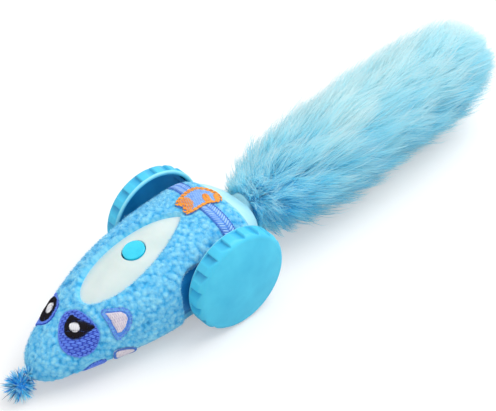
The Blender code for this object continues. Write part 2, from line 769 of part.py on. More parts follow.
def make_screw(name, material, parent, x, y, seat, length, head_side):
    """A cross-head screw standing on z; head_side -1 puts the head below the seat, 1 above it."""
    head = head_side * SCREW_HEAD_HEIGHT
    tip = -head_side * length
    profile = (
        (head, SCREW_HEAD_RADIUS),
        (0.0, SCREW_HEAD_RADIUS),
        (0.0, SCREW_RADIUS),
        (tip + head_side * SCREW_RADIUS, SCREW_RADIUS),
        (tip, SCREW_RADIUS * 0.35),
    )
    mesh = along_z(turned_mesh(name, profile, SMALL_SIDES))
    mesh.transform(Matrix.Translation((x, y, seat)))
    return add_object(name, mesh, material, parent)


def make_rear_cap(material, parent):
    """The smooth rump: a deep cap with a spigot that enters the housing and a tube for the tail."""
    rear = RUMP_REACH
    front = COVER_REAR_Y + FIT_GAP
    spigot_front = COVER_REAR_Y - CAP_SPIGOT_LENGTH
    spigot = SHELL_INNER + FIT_GAP
    turn = [2 * math.pi * (i + 0.5) / SHELL_SIDES for i in range(SHELL_SIDES)]

    def ring(y, inset):
        return [body_point(y, angle, inset) for angle in turn]

    span = rear - front
    outside = [ring(front + share * span, CAP_STEP) for share in (0.0, 0.35, 0.62, 0.85)]
    deep = CAP_STEP + CAP_WALL
    floor = front + CAP_WALL
    inside = [ring(floor + share * (span - 2 * CAP_WALL), deep) for share in (0.0, 0.4, 0.8)]
    bore = GROMMET_RADIUS + FIT_GAP
    rings = (
        [ring(spigot_front, spigot), ring(front, spigot)]
        + outside
        + [tail_ring(rear, SOCKET_TUBE_RADIUS), tail_ring(TUBE_END_Y, SOCKET_TUBE_RADIUS)]
        + [tail_ring(TUBE_END_Y, bore), tail_ring(TUBE_END_Y - SOCKET_TUBE_LENGTH, bore)]
        + inside[::-1]
        + [ring(floor, spigot + CAP_WALL), ring(spigot_front, spigot + CAP_WALL)]
    )
    return add_object("rear_cap", tube_mesh("rear_cap", rings, closed=True), material, parent)


def tail_ring(y, radius, sides=SHELL_SIDES):
    turn = [2 * math.pi * (i + 0.5) / sides for i in range(sides)]
    return [(radius * math.cos(a), y, TAIL_Z + radius * math.sin(a)) for a in turn]


# Light window, button and board


def make_window(material, parent):
    """The dome over the lights: its rim passes up through the housing and a flange holds it from inside."""
    rim = window_outline()
    flange = window_outline(WINDOW_FLANGE)
    inner = window_outline(-WINDOW_THICKNESS)
    hole_radius = BUTTON_RADIUS + BUTTON_GAP
    hole = []
    for x, y in rim:
        outward = Vector((x, y - BUTTON_Y)).normalized() * hole_radius
        hole.append(outward + Vector((0.0, BUTTON_Y)))
    seat = SHELL_INNER + WINDOW_SEAT_GAP
    under = seat + WINDOW_FLANGE_THICKNESS
    half_way = [(a + b) / 2 for a, b in zip(hole, rim)]
    half_way_in = [(a + b) / 2 for a, b in zip(hole, inner)]

    def top(points, drop=0.0):
        return [(x, y, window_top(x, y) - drop) for x, y in points]

    def under_roof(points, inset):
        return [(x, y, roof_height(x, y, inset)) for x, y in points]

    rings = [
        top(hole),
        top(half_way),
        top(rim),
        under_roof(rim, seat),
        under_roof(flange, seat),
        under_roof(flange, under),
        under_roof(inner, under),
        top(inner, WINDOW_THICKNESS),
        top(half_way_in, WINDOW_THICKNESS),
        top(hole, WINDOW_THICKNESS),
    ]
    return add_object("light_window", tube_mesh("light_window", rings, closed=True), material, parent)


def make_button(material, plunger_material, parent):
    skirt = BUTTON_SKIRT
    flange = BUTTON_RADIUS + BUTTON_FLANGE
    stem_end = switch_top() + PLUNGER_RISE + FIT_GAP
    profile = (
        (BUTTON_RISE, BUTTON_RADIUS * 0.30),
        (BUTTON_RISE * 0.88, BUTTON_RADIUS * 0.62),
        (BUTTON_RISE * 0.50, BUTTON_RADIUS * 0.88),
        (0.0, BUTTON_RADIUS),
        (-skirt, BUTTON_RADIUS),
        (-skirt, flange),
        (-skirt - BUTTON_FLANGE_THICKNESS, flange),
        (-skirt - BUTTON_FLANGE_THICKNESS, STEM_RADIUS),
        (stem_end, STEM_RADIUS),
    )
    add_object("button_cap", along_z(turned_mesh("button_cap", profile, ROUND_SIDES)), material, parent)
    low = switch_top() - PLUNGER_SUNK
    high = switch_top() + PLUNGER_RISE
    mesh = post_mesh("switch_plunger", 0.0, 0.0, low, high, PLUNGER_RADIUS)
    add_object("switch_plunger", mesh, plunger_material, parent)


def switch_top():
    """Height of the switch's top face in the button's own frame."""
    return -BOARD_DEPTH + FIT_GAP + SWITCH_HEIGHT


def make_board(materials, parent):
    """Main board, switch and lights, in the button's own tilted frame."""
    outline = rounded_rectangle(
        (-BOARD_WIDTH / 2, -BOARD_FRONT), (BOARD_WIDTH / 2, BOARD_REAR), POST_RADIUS
    )
    low = -BOARD_DEPTH - BOARD_THICKNESS
    add_object("main_board", prism_mesh("main_board", outline, low, -BOARD_DEPTH), materials["board"], parent)
    half = SWITCH_SIZE / 2
    box = rounded_rectangle((-half, -half), (half, half), POST_RADIUS / 2)
    mesh = prism_mesh("switch_body", box, -BOARD_DEPTH + FIT_GAP, switch_top())
    body = add_object("switch_body", mesh, materials["black"], parent)
    deep = switch_top() - PLUNGER_SUNK - PLUNGER_TRAVEL_ROOM
    bore = post_mesh("plunger_bore", 0.0, 0.0, deep, switch_top() + CUT_OVERRUN, PLUNGER_RADIUS + FIT_GAP)
    cut(body, make_cutter("plunger_bore", bore, parent))
    for k in range(3):
        make_led("led_%d" % (k + 1), materials["lens"], parent, (k - 1) * LED_SPACING)


def make_led(name, material, parent, x):
    base = -BOARD_DEPTH + FIT_GAP
    profile = (
        (base, LED_RADIUS),
        (base + LED_HEIGHT * 0.7, LED_RADIUS),
        (base + LED_HEIGHT * 0.93, LED_RADIUS * 0.7),
        (base + LED_HEIGHT, LED_RADIUS * 0.25),
    )
    mesh = along_z(turned_mesh(name, profile, SMALL_SIDES))
    mesh.transform(Matrix.Translation((x, -LED_FORWARD, 0.0)))
    return add_object(name, mesh, material, parent)


def make_cell(material, parent):
    low = floor_height(CELL_WIDTH / 2, CELL_FRONT_Y, SHELL_INNER) + 2 * FIT_GAP
    outline = rounded_rectangle(
        (-CELL_WIDTH / 2, CELL_FRONT_Y), (CELL_WIDTH / 2, CELL_REAR_Y), CELL_CORNER
    )
    mesh = prism_mesh("battery_cell", outline, low, low + CELL_HEIGHT)
    return add_object("battery_cell", mesh, material, parent)


def make_charging(materials, parent):
    """The charging socket stands in the belly pad's slot and its small board lies on the socket."""
    low = floor_height(0.0, BELLY_PAD_Y) + PAD_RECESS
    high = low + SOCKET_DEPTH
    outer = rounded_rectangle(
        (-SOCKET_WIDTH / 2, BELLY_PAD_Y - SOCKET_HEIGHT / 2),
        (SOCKET_WIDTH / 2, BELLY_PAD_Y + SOCKET_HEIGHT / 2),
        SOCKET_HEIGHT * 0.45,
    )
    socket = add_object("charge_socket", prism_mesh("charge_socket", outer, low, high), materials["steel"], parent)
    wall = SOCKET_WALL
    inner = rounded_rectangle(
        (-SOCKET_WIDTH / 2 + wall, BELLY_PAD_Y - SOCKET_HEIGHT / 2 + wall),
        (SOCKET_WIDTH / 2 - wall, BELLY_PAD_Y + SOCKET_HEIGHT / 2 - wall),
        SOCKET_HEIGHT * 0.35,
    )
    mouth = prism_mesh("socket_mouth", inner, low - CUT_OVERRUN, high - SOCKET_WALL)
    cut(socket, make_cutter("socket_mouth", mouth, parent))
    board = rounded_rectangle(
        (-CHARGE_BOARD_WIDTH / 2, BELLY_PAD_Y - CHARGE_BOARD_LENGTH / 2),
        (CHARGE_BOARD_WIDTH / 2, BELLY_PAD_Y + CHARGE_BOARD_LENGTH / 2),
        BOARD_CORNER,
    )
    low = high + FIT_GAP
    mesh = prism_mesh("charge_board", board, low, low + BOARD_THICKNESS)
    add_object("charge_board", mesh, materials["board"], parent)


# Drive train


def pitch_radius(teeth):
    return GEAR_MODULE * teeth / 2


def idler_place():
    return (-GEAR_DISTANCE, 0.0)


def motor_place(side):
    """The left motor lies low and the right one high, so that both fit between the gear frame's plates."""
    return (-MOTOR_OFFSET_Y, -side * MOTOR_OFFSET_Z)


def tooth_half_angle(teeth, radius):
    """Half the angle that an involute tooth takes up at a radius, as seen from the gear's middle."""
    pitch = pitch_radius(teeth)
    base = pitch * math.cos(PRESSURE_ANGLE)
    at_pitch = math.pi / (2 * teeth) - TOOTH_BACKLASH / (2 * pitch)
    turned = math.tan(PRESSURE_ANGLE) - PRESSURE_ANGLE
    angle = math.acos(min(base / radius, 1.0))
    return at_pitch + turned - (math.tan(angle) - angle)


def gear_outline(teeth, phase):
    """Involute teeth as (y, z) points about the gear's middle; phase turns the first tooth."""
    pitch = pitch_radius(teeth)
    root = pitch - GEAR_MODULE * TOOTH_DEDENDUM_SHARE
    tip = pitch + GEAR_MODULE * TOOTH_ADDENDUM_SHARE
    base = max(root, pitch * math.cos(PRESSURE_ANGLE))
    # the flank of a large gear is nearly straight, a small one needs a point where its involute starts
    radii = [root, base, tip] if base - root > GEAR_MODULE / 2 else [root, tip]
    points = []
    for tooth in range(teeth):
        middle = phase + 2 * math.pi * tooth / teeth
        for radius in radii:
            angle = middle - tooth_half_angle(teeth, max(radius, base))
            points.append((radius * math.cos(angle), radius * math.sin(angle)))
        for radius in reversed(radii):
            angle = middle + tooth_half_angle(teeth, max(radius, base))
            points.append((radius * math.cos(angle), radius * math.sin(angle)))
    return points


def gear_mesh(name, teeth, phase, side, low, high):
    return extruded_mesh(name, gear_outline(teeth, phase), side * low, side * high)


def meshing_phase(teeth, mate_teeth, mate_phase, direction):
    """The phase that puts a tooth gap of this gear on the mate's tooth, seen along direction from the mate."""
    mate_turn = (direction - mate_phase) * mate_teeth / (2 * math.pi)
    offset = mate_turn - math.floor(mate_turn)
    return direction + math.pi + (offset - 0.5) * 2 * math.pi / teeth


def make_drive(side, label, materials, parent):
    """One wheel's gear train, from the wheel gear back to the motor."""
    idler_y, idler_z = idler_place()
    motor_y, motor_z = motor_place(side)
    big_low = FRAME_INNER_X + PLATE_THICKNESS + GEAR_SIDE_GAP
    big_high = big_low + GEAR_FACE
    small_high = GEAR_COVER_X - GEAR_SIDE_GAP
    wheel_low = big_high + GEAR_SIDE_GAP
    wheel_high = wheel_low + WHEEL_GEAR_FACE
    bore_low = big_low - CUT_OVERRUN
    bore_high = small_high + CUT_OVERRUN

    wheel_joint = bpy.data.objects["wheel_%s_axis" % label]
    wheel_gear = add_object(
        "wheel_gear_" + label,
        gear_mesh("wheel_gear_" + label, WHEEL_GEAR_TEETH, 0.0, side, wheel_low, wheel_high),
        materials["gear"],
        wheel_joint,
    )
    bore = bore_mesh("wheel_gear_bore_" + label, side, bore_low, bore_high, AXLE_RADIUS)
    cut(wheel_gear, make_cutter("wheel_gear_bore_" + label, bore, wheel_joint))

    idler_joint = add_empty("idler_%s_axis" % label, (0.0, idler_y, idler_z), parent)
    small_phase = meshing_phase(PINION_TEETH, WHEEL_GEAR_TEETH, 0.0, math.pi)
    idler = add_object(
        "idler_gear_" + label,
        gear_mesh("idler_gear_" + label, WHEEL_GEAR_TEETH, 0.0, side, big_low, big_high),
        materials["gear_dark"],
        idler_joint,
    )
    overlap = GEAR_FACE / 2
    small = gear_mesh("idler_small_" + label, PINION_TEETH, small_phase, side, big_high - overlap, small_high)
    fuse(idler, make_cutter("idler_small_" + label, small, idler_joint))
    bore = bore_mesh("idler_bore_" + label, side, bore_low, bore_high, IDLER_PIN_RADIUS)
    cut(idler, make_cutter("idler_bore_" + label, bore, idler_joint))

    motor_joint = add_empty("motor_%s_axis" % label, (0.0, motor_y, motor_z), parent)
    direction = math.atan2(motor_z - idler_z, motor_y - idler_y)
    pinion_phase = meshing_phase(PINION_TEETH, WHEEL_GEAR_TEETH, 0.0, direction)
    pinion = add_object(
        "motor_pinion_" + label,
        gear_mesh("motor_pinion_" + label, PINION_TEETH, pinion_phase, side, big_low, big_high),
        materials["brass"],
        motor_joint,
    )
    bore = bore_mesh("pinion_bore_" + label, side, bore_low, bore_high, MOTOR_SHAFT_RADIUS)
    cut(pinion, make_cutter("pinion_bore_" + label, bore, motor_joint))
    face = motor_face()
    low = face - MOTOR_BORE_DEPTH + FIT_GAP
    shaft = side_rod("motor_shaft_" + label, side, low, big_high + GEAR_SIDE_GAP, MOTOR_SHAFT_RADIUS)
    add_object("motor_shaft_" + label, shaft, materials["steel"], motor_joint)

    make_motor(side, label, materials["motor"], parent, motor_y, motor_z)
    low = FRAME_INNER_X + FIT_GAP
    high = GEAR_COVER_X + PLATE_THICKNESS - FIT_GAP
    pin = side_rod("idler_pin_" + label, side, low, high, IDLER_PIN_RADIUS)
    pin.transform(Matrix.Translation((0.0, idler_y, idler_z)))
    add_object("idler_pin_" + label, pin, materials["steel"], parent)
    make_gear_cover(side, label, materials["frame"], parent)


def motor_face():
    return FRAME_INNER_X - FIT_GAP


def side_rod(name, side, low, high, radius, sides=SMALL_SIDES):
    ends = sorted((side * low, side * high))
    return rod_mesh(name, ends[0], ends[1], radius, 0.0, 0.0, sides)


def bore_mesh(name, side, low, high, shaft_radius):
    return side_rod(name, side, low, high, shaft_radius + FIT_GAP)


def make_motor(side, label, material, parent, y, z):
    """A small can motor: a round can with two flats, and a boss that centres it in the frame plate."""
    name = "motor_" + label
    outline = []
    flat = math.asin(MOTOR_FLAT_HALF / MOTOR_RADIUS)
    for middle in (0.0, math.pi):
        for step in range(7):
            angle = middle + flat * (step / 3 - 1)
            outline.append((y + MOTOR_RADIUS * math.cos(angle), z + MOTOR_RADIUS * math.sin(angle)))
    face = motor_face()
    ends = sorted((side * face, side * (face - MOTOR_LENGTH)))
    motor = add_object(name, extruded_mesh(name, outline, ends[0], ends[1]), material, parent)
    nose = side_rod(name + "_boss", side, face - MOTOR_BOSS_LENGTH, face + MOTOR_BOSS_LENGTH, MOTOR_BOSS_RADIUS)
    nose.transform(Matrix.Translation((0.0, y, z)))
    fuse(motor, make_cutter(name + "_boss", nose, parent))
    bore = bore_mesh(name + "_bore", side, face - MOTOR_BORE_DEPTH, face + CUT_OVERRUN, MOTOR_SHAFT_RADIUS)
    bore.transform(Matrix.Translation((0.0, y, z)))
    return cut(motor, make_cutter(name + "_bore", bore, parent))


def spacer_places():
    return (
        (SPACER_OFFSET, SPACER_OFFSET),
        (SPACER_OFFSET, -SPACER_OFFSET),
        (-GEAR_DISTANCE - SPACER_REACH - SPACER_RADIUS, 0.0),
    )


def make_gear_cover(side, label, material, parent):
    """The outer plate of one gear case, on three spacers that reach back to the frame."""
    name = "gear_cover_" + label
    outline = rounded_rectangle(
        (FRAME_FRONT_Y + FIT_GAP, -COVER_PLATE_HALF), (FRAME_REAR_Y - FIT_GAP, COVER_PLATE_HALF), FRAME_CORNER
    )
    ends = sorted((side * GEAR_COVER_X, side * (GEAR_COVER_X + PLATE_THICKNESS)))
    cover = add_object(name, extruded_mesh(name, outline, ends[0], ends[1]), material, parent)
    for k, (y, z) in enumerate(spacer_places()):
        low = FRAME_INNER_X + PLATE_THICKNESS + FIT_GAP
        spacer = side_rod(name + "_spacer_%d" % k, side, low, GEAR_COVER_X + PLATE_THICKNESS / 2, SPACER_RADIUS)
        spacer.transform(Matrix.Translation((0.0, y, z)))
        fuse(cover, make_cutter(name + "_spacer_%d" % k, spacer, parent))
    holes = ((0.0, 0.0, AXLE_RADIUS), (*idler_place(), IDLER_PIN_RADIUS))
    for k, (y, z, radius) in enumerate(holes):
        hole = bore_mesh(
            name + "_hole_%d" % k, side, GEAR_COVER_X - CUT_OVERRUN, GEAR_COVER_X + CUT_OVERRUN, radius
        )
        hole.transform(Matrix.Translation((0.0, y, z)))
        cut(cover, make_cutter(name + "_hole_%d" % k, hole, parent))
    return cover


def make_gear_frame(material, parent):
    """A channel that stands on the belly pan: two side plates with the bearings, joined by a floor."""
    outline = rounded_rectangle((FRAME_FRONT_Y, FRAME_BOTTOM_Z), (FRAME_REAR_Y, FRAME_TOP_Z), FRAME_CORNER)
    outer = FRAME_INNER_X + PLATE_THICKNESS
    frame = add_object("gear_frame", extruded_mesh("gear_frame", outline, -outer, outer), material, parent)
    inside = rounded_rectangle(
        (FRAME_FRONT_Y - CUT_OVERRUN, FRAME_BOTTOM_Z + PLATE_THICKNESS),
        (FRAME_REAR_Y + CUT_OVERRUN, FRAME_TOP_Z + CUT_OVERRUN),
        PLATE_THICKNESS,
    )
    gap = extruded_mesh("frame_gap", inside, -FRAME_INNER_X, FRAME_INNER_X)
    cut(frame, make_cutter("frame_gap", gap, parent))
    for side in (-1, 1):
        motor_y, motor_z = motor_place(side)
        holes = (
            (0.0, 0.0, AXLE_RADIUS),
            (*idler_place(), IDLER_PIN_RADIUS),
            (motor_y, motor_z, MOTOR_BOSS_RADIUS),
        )
        for k, (y, z, radius) in enumerate(holes):
            name = "frame_hole_%d_%d" % (side, k)
            hole = bore_mesh(name, side, FRAME_INNER_X - CUT_OVERRUN / 2, outer + CUT_OVERRUN, radius)
            hole.transform(Matrix.Translation((0.0, y, z)))
            cut(frame, make_cutter(name, hole, parent))
        place = side * FRAME_INNER_X / 2
        low, high = FRAME_BOTTOM_Z - CUT_OVERRUN, FRAME_BOTTOM_Z + CUT_OVERRUN
        cut(frame, screw_hole(parent, "frame_screw_hole_%d" % side, place, FRAME_SCREW_Y, low, high))
    slot_y = BELLY_PAD_Y - CHARGE_BOARD_LENGTH / 2 - FIT_GAP
    slot = rounded_rectangle(
        (-CHARGE_BOARD_WIDTH / 2 - FIT_GAP, slot_y),
        (CHARGE_BOARD_WIDTH / 2 + FIT_GAP, slot_y + CHARGE_BOARD_LENGTH + 2 * FIT_GAP),
        BOARD_CORNER,
    )
    low, high = FRAME_BOTTOM_Z - CUT_OVERRUN, FRAME_BOTTOM_Z + CUT_OVERRUN
    cut(frame, make_cutter("charge_slot", prism_mesh("charge_slot", slot, low, high), parent))
    return frame


def make_frame_screws(material, parent):
    for k, side in enumerate((-1, 1)):
        seat = FRAME_BOTTOM_Z + PLATE_THICKNESS + FIT_GAP
        name = "frame_screw_%d" % (k + 1)
        make_screw(name, material, parent, side * FRAME_INNER_X / 2, FRAME_SCREW_Y, seat, FRAME_SCREW_LENGTH, 1)


# Wheels


def tyre_profile():
    """(along, radius, rib depth share) from the middle of the face round the tread to the hollow's middle."""
    face = TREAD_OUTER_X
    crown = face + WHEEL_CROWN
    inner = WHEEL_RADIUS - WHEEL_WALL
    floor = crown - WHEEL_FACE_THICKNESS
    return (
        (crown, WHEEL_RADIUS * 0.16, 0.0),
        (crown - WHEEL_CROWN * 0.35, WHEEL_RADIUS * 0.58, 0.0),
        (face, WHEEL_RADIUS * 0.87, 0.0),
        (face - WHEEL_WALL * 0.30, WHEEL_RADIUS * 0.95, 0.5),
        (face - WHEEL_WALL * 1.2, WHEEL_RADIUS, 1.0),
        (WHEEL_INNER_X + WHEEL_WALL * 0.8, WHEEL_RADIUS, 1.0),
        (WHEEL_INNER_X, WHEEL_RADIUS * 0.97, 0.0),
        (WHEEL_INNER_X, inner, 0.0),
        (floor, inner, 0.0),
    )


def make_wheel(side, label, materials, parent):
    joint = add_empty("wheel_%s_axis" % label, (0.0, 0.0, 0.0), parent)
    profile = tyre_profile()

    def groove(k, i):
        return RIB_DEPTH * profile[k][2] if i % POINTS_PER_RIB == 0 else 0.0

    mesh = turned_mesh(
        "tyre_" + label,
        [(side * along, radius) for along, radius, _ in profile],
        RIB_COUNT * POINTS_PER_RIB,
        bumps=groove,
    )
    # a rib's full height stands exactly at the bottom, where the wheel meets the floor
    mesh.transform(Matrix.Rotation(tyre_turn(), 4, "X"))
    add_object("tyre_" + label, mesh, materials["tyre"], joint)

    floor = TREAD_OUTER_X + WHEEL_CROWN - WHEEL_FACE_THICKNESS - FIT_GAP
    rim = WHEEL_RADIUS - WHEEL_WALL - FIT_GAP
    boss_end = hub_inner_x()
    profile = (
        (floor, HUB_BOSS_RADIUS * 0.3),
        (floor, rim - HUB_WEB / 2),
        (floor - HUB_WEB / 2, rim),
        (floor - HUB_RIM_DEPTH, rim),
        (floor - HUB_RIM_DEPTH, rim - HUB_WEB),
        (floor - HUB_WEB, rim - HUB_WEB),
        (floor - HUB_WEB, HUB_BOSS_RADIUS),
        (boss_end, HUB_BOSS_RADIUS),
        (boss_end, AXLE_RADIUS + FIT_GAP),
        (floor - HUB_WEB / 2, AXLE_RADIUS + FIT_GAP),
    )
    mesh = turned_mesh("wheel_hub_" + label, [(side * a, r) for a, r in profile], 2 * SMALL_SIDES)
    add_object("wheel_hub_" + label, mesh, materials["hub"], joint)

    axle_end = floor - HUB_WEB / 2 - FIT_GAP
    axle = side_rod("axle_" + label, side, FRAME_INNER_X + FIT_GAP, axle_end, AXLE_RADIUS)
    add_object("axle_" + label, axle, materials["steel"], joint)

    wall = BODY_WIDTH / 2 - SHELL_INSET
    bush = (
        (side * (wall + FIT_GAP + BUSH_FLANGE_THICKNESS), AXLE_RADIUS + FIT_GAP),
        (side * (wall + FIT_GAP + BUSH_FLANGE_THICKNESS), BUSH_FLANGE_RADIUS),
        (side * (wall + FIT_GAP), BUSH_FLANGE_RADIUS),
        (side * (wall + FIT_GAP), BUSH_RADIUS),
        (side * (wall - SHELL_WALL - FIT_GAP), BUSH_RADIUS),
        (side * (wall - SHELL_WALL - FIT_GAP), AXLE_RADIUS + FIT_GAP),
    )
    mesh = turned_mesh("axle_bush_" + label, bush, SMALL_SIDES, closed=True)
    add_object("axle_bush_" + label, mesh, materials["bush"], parent)


def tyre_turn():
    """Turn that puts the middle between two grooves straight down."""
    sides = RIB_COUNT * POINTS_PER_RIB
    step = 2 * math.pi / sides
    lowest = round(1.5 * math.pi / step)
    while lowest % POINTS_PER_RIB == 0:
        lowest += 1
    return 1.5 * math.pi - lowest * step


def hub_inner_x():
    wall = BODY_WIDTH / 2 - SHELL_INSET
    return wall + FIT_GAP + BUSH_FLANGE_THICKNESS + FIT_GAP


# Fleece cover and embroidery


def make_fleece(material, parent):
    mesh = skin_mesh("fleece_cover", COVER_REAR_Y, 0.0, FLEECE_THICKNESS, BODY_SIDES)
    cover = add_object("fleece_cover", mesh, material, parent)
    low, high = SHELL_SPLIT_Z + CUT_OVERRUN, ROOF_Z + CUT_OVERRUN
    opening = prism_mesh("fleece_window", window_outline(2 * FIT_GAP), low, high)
    cut(cover, make_cutter("fleece_window", opening, parent))
    pad = rounded_rectangle(
        (-BELLY_PAD_WIDTH / 2 - FIT_GAP, BELLY_PAD_Y - BELLY_PAD_LENGTH / 2 - FIT_GAP),
        (BELLY_PAD_WIDTH / 2 + FIT_GAP, BELLY_PAD_Y + BELLY_PAD_LENGTH / 2 + FIT_GAP),
        BELLY_PAD_CORNER,
    )
    mesh = prism_mesh("fleece_pad", pad, BELLY_Z - CUT_OVERRUN, SHELL_SPLIT_Z)
    cut(cover, make_cutter("fleece_pad", mesh, parent))
    low, high = BELLY_Z - CUT_OVERRUN - ARCH_CORNER, ARCH_REACH - ARCH_DROP
    arch = rounded_rectangle((-ARCH_REACH, low), (ARCH_REACH, high), ARCH_CORNER)
    inner_x = BODY_WIDTH / 2 - FLEECE_THICKNESS - CUT_OVERRUN
    for side in (-1, 1):
        ends = sorted((side * inner_x, side * BODY_WIDTH))
        name = "wheel_arch_%d" % side
        cut(cover, make_cutter(name, extruded_mesh(name, arch, ends[0], ends[1]), parent))
    return cover


def patch_mesh(name, outline, centre, side):
    """A thin pad that lies on the body: (y, angle) outline points, drawn in to a centre in rings."""
    low, high = -FIT_GAP, -FIT_GAP - PATCH_THICKNESS
    centre = Vector(centre)

    def ring(share, outset):
        points = []
        for place in outline:
            y, angle = centre + (Vector(place) - centre) * share
            x, y, z = body_point(y, angle, outset)
            points.append((side * x, y, z))
        return points

    rings = [ring(share, low) for share in PATCH_REACH_SHARES]
    rings += [ring(share, high) for share in reversed(PATCH_REACH_SHARES)]
    return tube_mesh(name, rings, curved_ends=True)


def eye_outline():
    """A soft square on the side of the snout, as (y, angle)."""
    outline = []
    for i in range(EYE_POINTS):
        turn = 2 * math.pi * i / EYE_POINTS
        c, s = math.cos(turn), math.sin(turn)
        reach = (abs(c) ** EYE_SQUARENESS + abs(s) ** EYE_SQUARENESS) ** (-1 / EYE_SQUARENESS)
        outline.append((EYE_Y + EYE_LENGTH / 2 * reach * c, EYE_TURN + EYE_SWEEP / 2 * reach * s))
    return outline


def ear_outline():
    """A triangle with its point downwards, its corners cut and its sides in steps, as (y, angle)."""
    outline = []
    for k, share in enumerate(EAR_SHARES):
        here = Vector(share)
        after = Vector(EAR_SHARES[(k + 1) % len(EAR_SHARES)])
        for step in EAR_STEP_SHARES:
            point = here.lerp(after, step)
            outline.append((EAR_Y + EAR_LENGTH * point.x, EAR_TURN + EAR_SWEEP * point.y))
    return outline


def make_embroidery(materials, parent):
    for side, label in ((1, "left"), (-1, "right")):
        name = "eye_patch_" + label
        mesh = patch_mesh(name, eye_outline(), (EYE_Y, EYE_TURN), side)
        add_object(name, mesh, materials["thread"], parent)
        name = "ear_patch_" + label
        mesh = patch_mesh(name, ear_outline(), (EAR_Y, EAR_TURN), side)
        add_object(name, mesh, materials["ear"], parent)
    make_belt(materials["thread"], parent)
    make_fish(materials["fish"], parent)


def make_belt(material, parent):
    """The belt lies across the back, from one wheel over the roof to the other, bent where the cover is."""
    turns = [2 * math.pi * (i + 0.5) / BODY_SIDES for i in range(BODY_SIDES)]
    rings = []
    for angle in (turn for turn in turns if abs(turn - math.pi / 2) < BELT_HALF_ARC):
        ring = []
        for outset, places in ((-FIT_GAP, (-0.5, 0.5)), (-FIT_GAP - PATCH_THICKNESS, (0.5, -0.5))):
            for share in places:
                ring.append(body_point(BELT_Y + share * BELT_WIDTH, angle, outset))
        rings.append(ring)
    return add_object("belt_ribbon", tube_mesh("belt_ribbon", rings), material, parent)


def make_fish(material, parent):
    """A plain fish lying over the belt: a raised pad with a leaf-shaped body and a forked tail."""
    upper = [Vector((along - 0.5, half)) for along, half in FISH_SHARES]
    lower = [Vector((point.x, -point.y)) for point in reversed(upper)]
    shares = upper + [Vector((0.5, 0.0))] + lower + [Vector((FISH_SHARES[1][0] - 0.5, 0.0))]
    places = []
    for share in shares:
        along, across = share.x * FISH_LENGTH, share.y * FISH_HEIGHT
        x = FISH_X + along * math.cos(FISH_TURN) - across * math.sin(FISH_TURN)
        y = BELT_Y + along * math.sin(FISH_TURN) + across * math.cos(FISH_TURN)
        places.append((x, y))
    low = FIT_GAP + PATCH_THICKNESS + FIT_GAP
    builder = bmesh.new()
    floor = [builder.verts.new((x, y, roof_height(x, y, -low))) for x, y in places]
    top = [builder.verts.new((x, y, roof_height(x, y, -low - PATCH_THICKNESS))) for x, y in places]
    count = len(places)
    for i in range(count):
        j = (i + 1) % count
        builder.faces.new((floor[i], floor[j], top[j], top[i]))
    tip = len(upper)
    notch = count - 1
    for row in (floor, top):
        builder.faces.new((row[0], row[1], row[notch]))
        builder.faces.new((row[notch - 1], row[notch], row[notch - 2]))
        builder.faces.new((row[1], row[2], row[notch]))
        builder.faces.new((row[2], row[notch - 3], row[notch]))
        builder.faces.new((row[notch - 3], row[notch - 2], row[notch]))
        for i in range(2, tip - 1):
            builder.faces.new((row[i], row[i + 1], row[2 * tip - i - 1], row[2 * tip - i]))
        builder.faces.new((row[tip - 1], row[tip], row[tip + 1]))
    return add_object("fish_patch", finish_mesh("fish_patch", builder), material, parent)


# Nose


def make_nose(materials, parent):
    """A ball of tinsel: each face of a round core is drawn out to a point of its own length."""
    builder = bmesh.new()
    bmesh.ops.create_icosphere(builder, subdivisions=2, radius=TINSEL_RADIUS)
    golden = (1 + math.sqrt(5)) / 2
    for k, face in enumerate(list(builder.faces)):
        direction = face.calc_center_median().normalized()
        length = TINSEL_REACH * (0.78 + 0.22 * ((k * golden) % 1.0))
        if direction.z < 0:
            length = min(length, (WHEEL_RADIUS + TINSEL_CENTRE_Z) / -direction.z)
        poked = bmesh.ops.poke(builder, faces=[face])
        poked["verts"][0].co = direction * max(length, TINSEL_RADIUS)
    ball = finish_mesh("nose_tinsel", builder, math.radians(180))
    ball.transform(Matrix.Translation((0.0, TINSEL_CENTRE_Y, TINSEL_CENTRE_Z)))
    nose = add_object("nose_tinsel", ball, materials["tinsel"], parent)

    shank = NOSE_PIN_LENGTH - NOSE_PIN_HEAD
    profile = (
        (TINSEL_CLEARANCE, NOSE_PIN_RADIUS),
        (shank, NOSE_PIN_RADIUS),
        (shank, NOSE_PIN_HEAD_RADIUS),
        (NOSE_PIN_LENGTH, NOSE_PIN_HEAD_RADIUS),
    )
    mesh = along_y(turned_mesh("nose_pin", profile, SMALL_SIDES))
    mesh.transform(nose_pin_place())
    add_object("nose_pin", mesh, materials["white"], parent)
    wide = NOSE_PIN_RADIUS + FIT_GAP
    drill = along_y(turned_mesh("nose_drill", ((0.0, wide), (shank, wide)), SMALL_SIDES))
    drill.transform(nose_pin_place())
    drill = make_cutter("nose_drill", drill, parent)
    for name in ("nose_tinsel", "fleece_cover", "lower_shell"):
        cut(bpy.data.objects[name], drill)
    return nose


def nose_pin_place():
    """Puts a bar made along Y on the line from the tinsel's middle up into the snout."""
    spot = Matrix.Translation((0.0, TINSEL_CENTRE_Y, TINSEL_CENTRE_Z))
    return spot @ Matrix.Rotation(NOSE_PIN_SLANT, 4, "X")


# Tail


def make_tail(materials, parent):
    make_grommet(materials["rubber"], parent)
    joint = add_empty("tail_axis", (0.0, TAIL_PIVOT_Y, TAIL_Z), parent)
    make_tail_wire(materials["steel"], joint)
    make_collar(materials["white"], joint)
    make_fur(materials["fur"], joint)


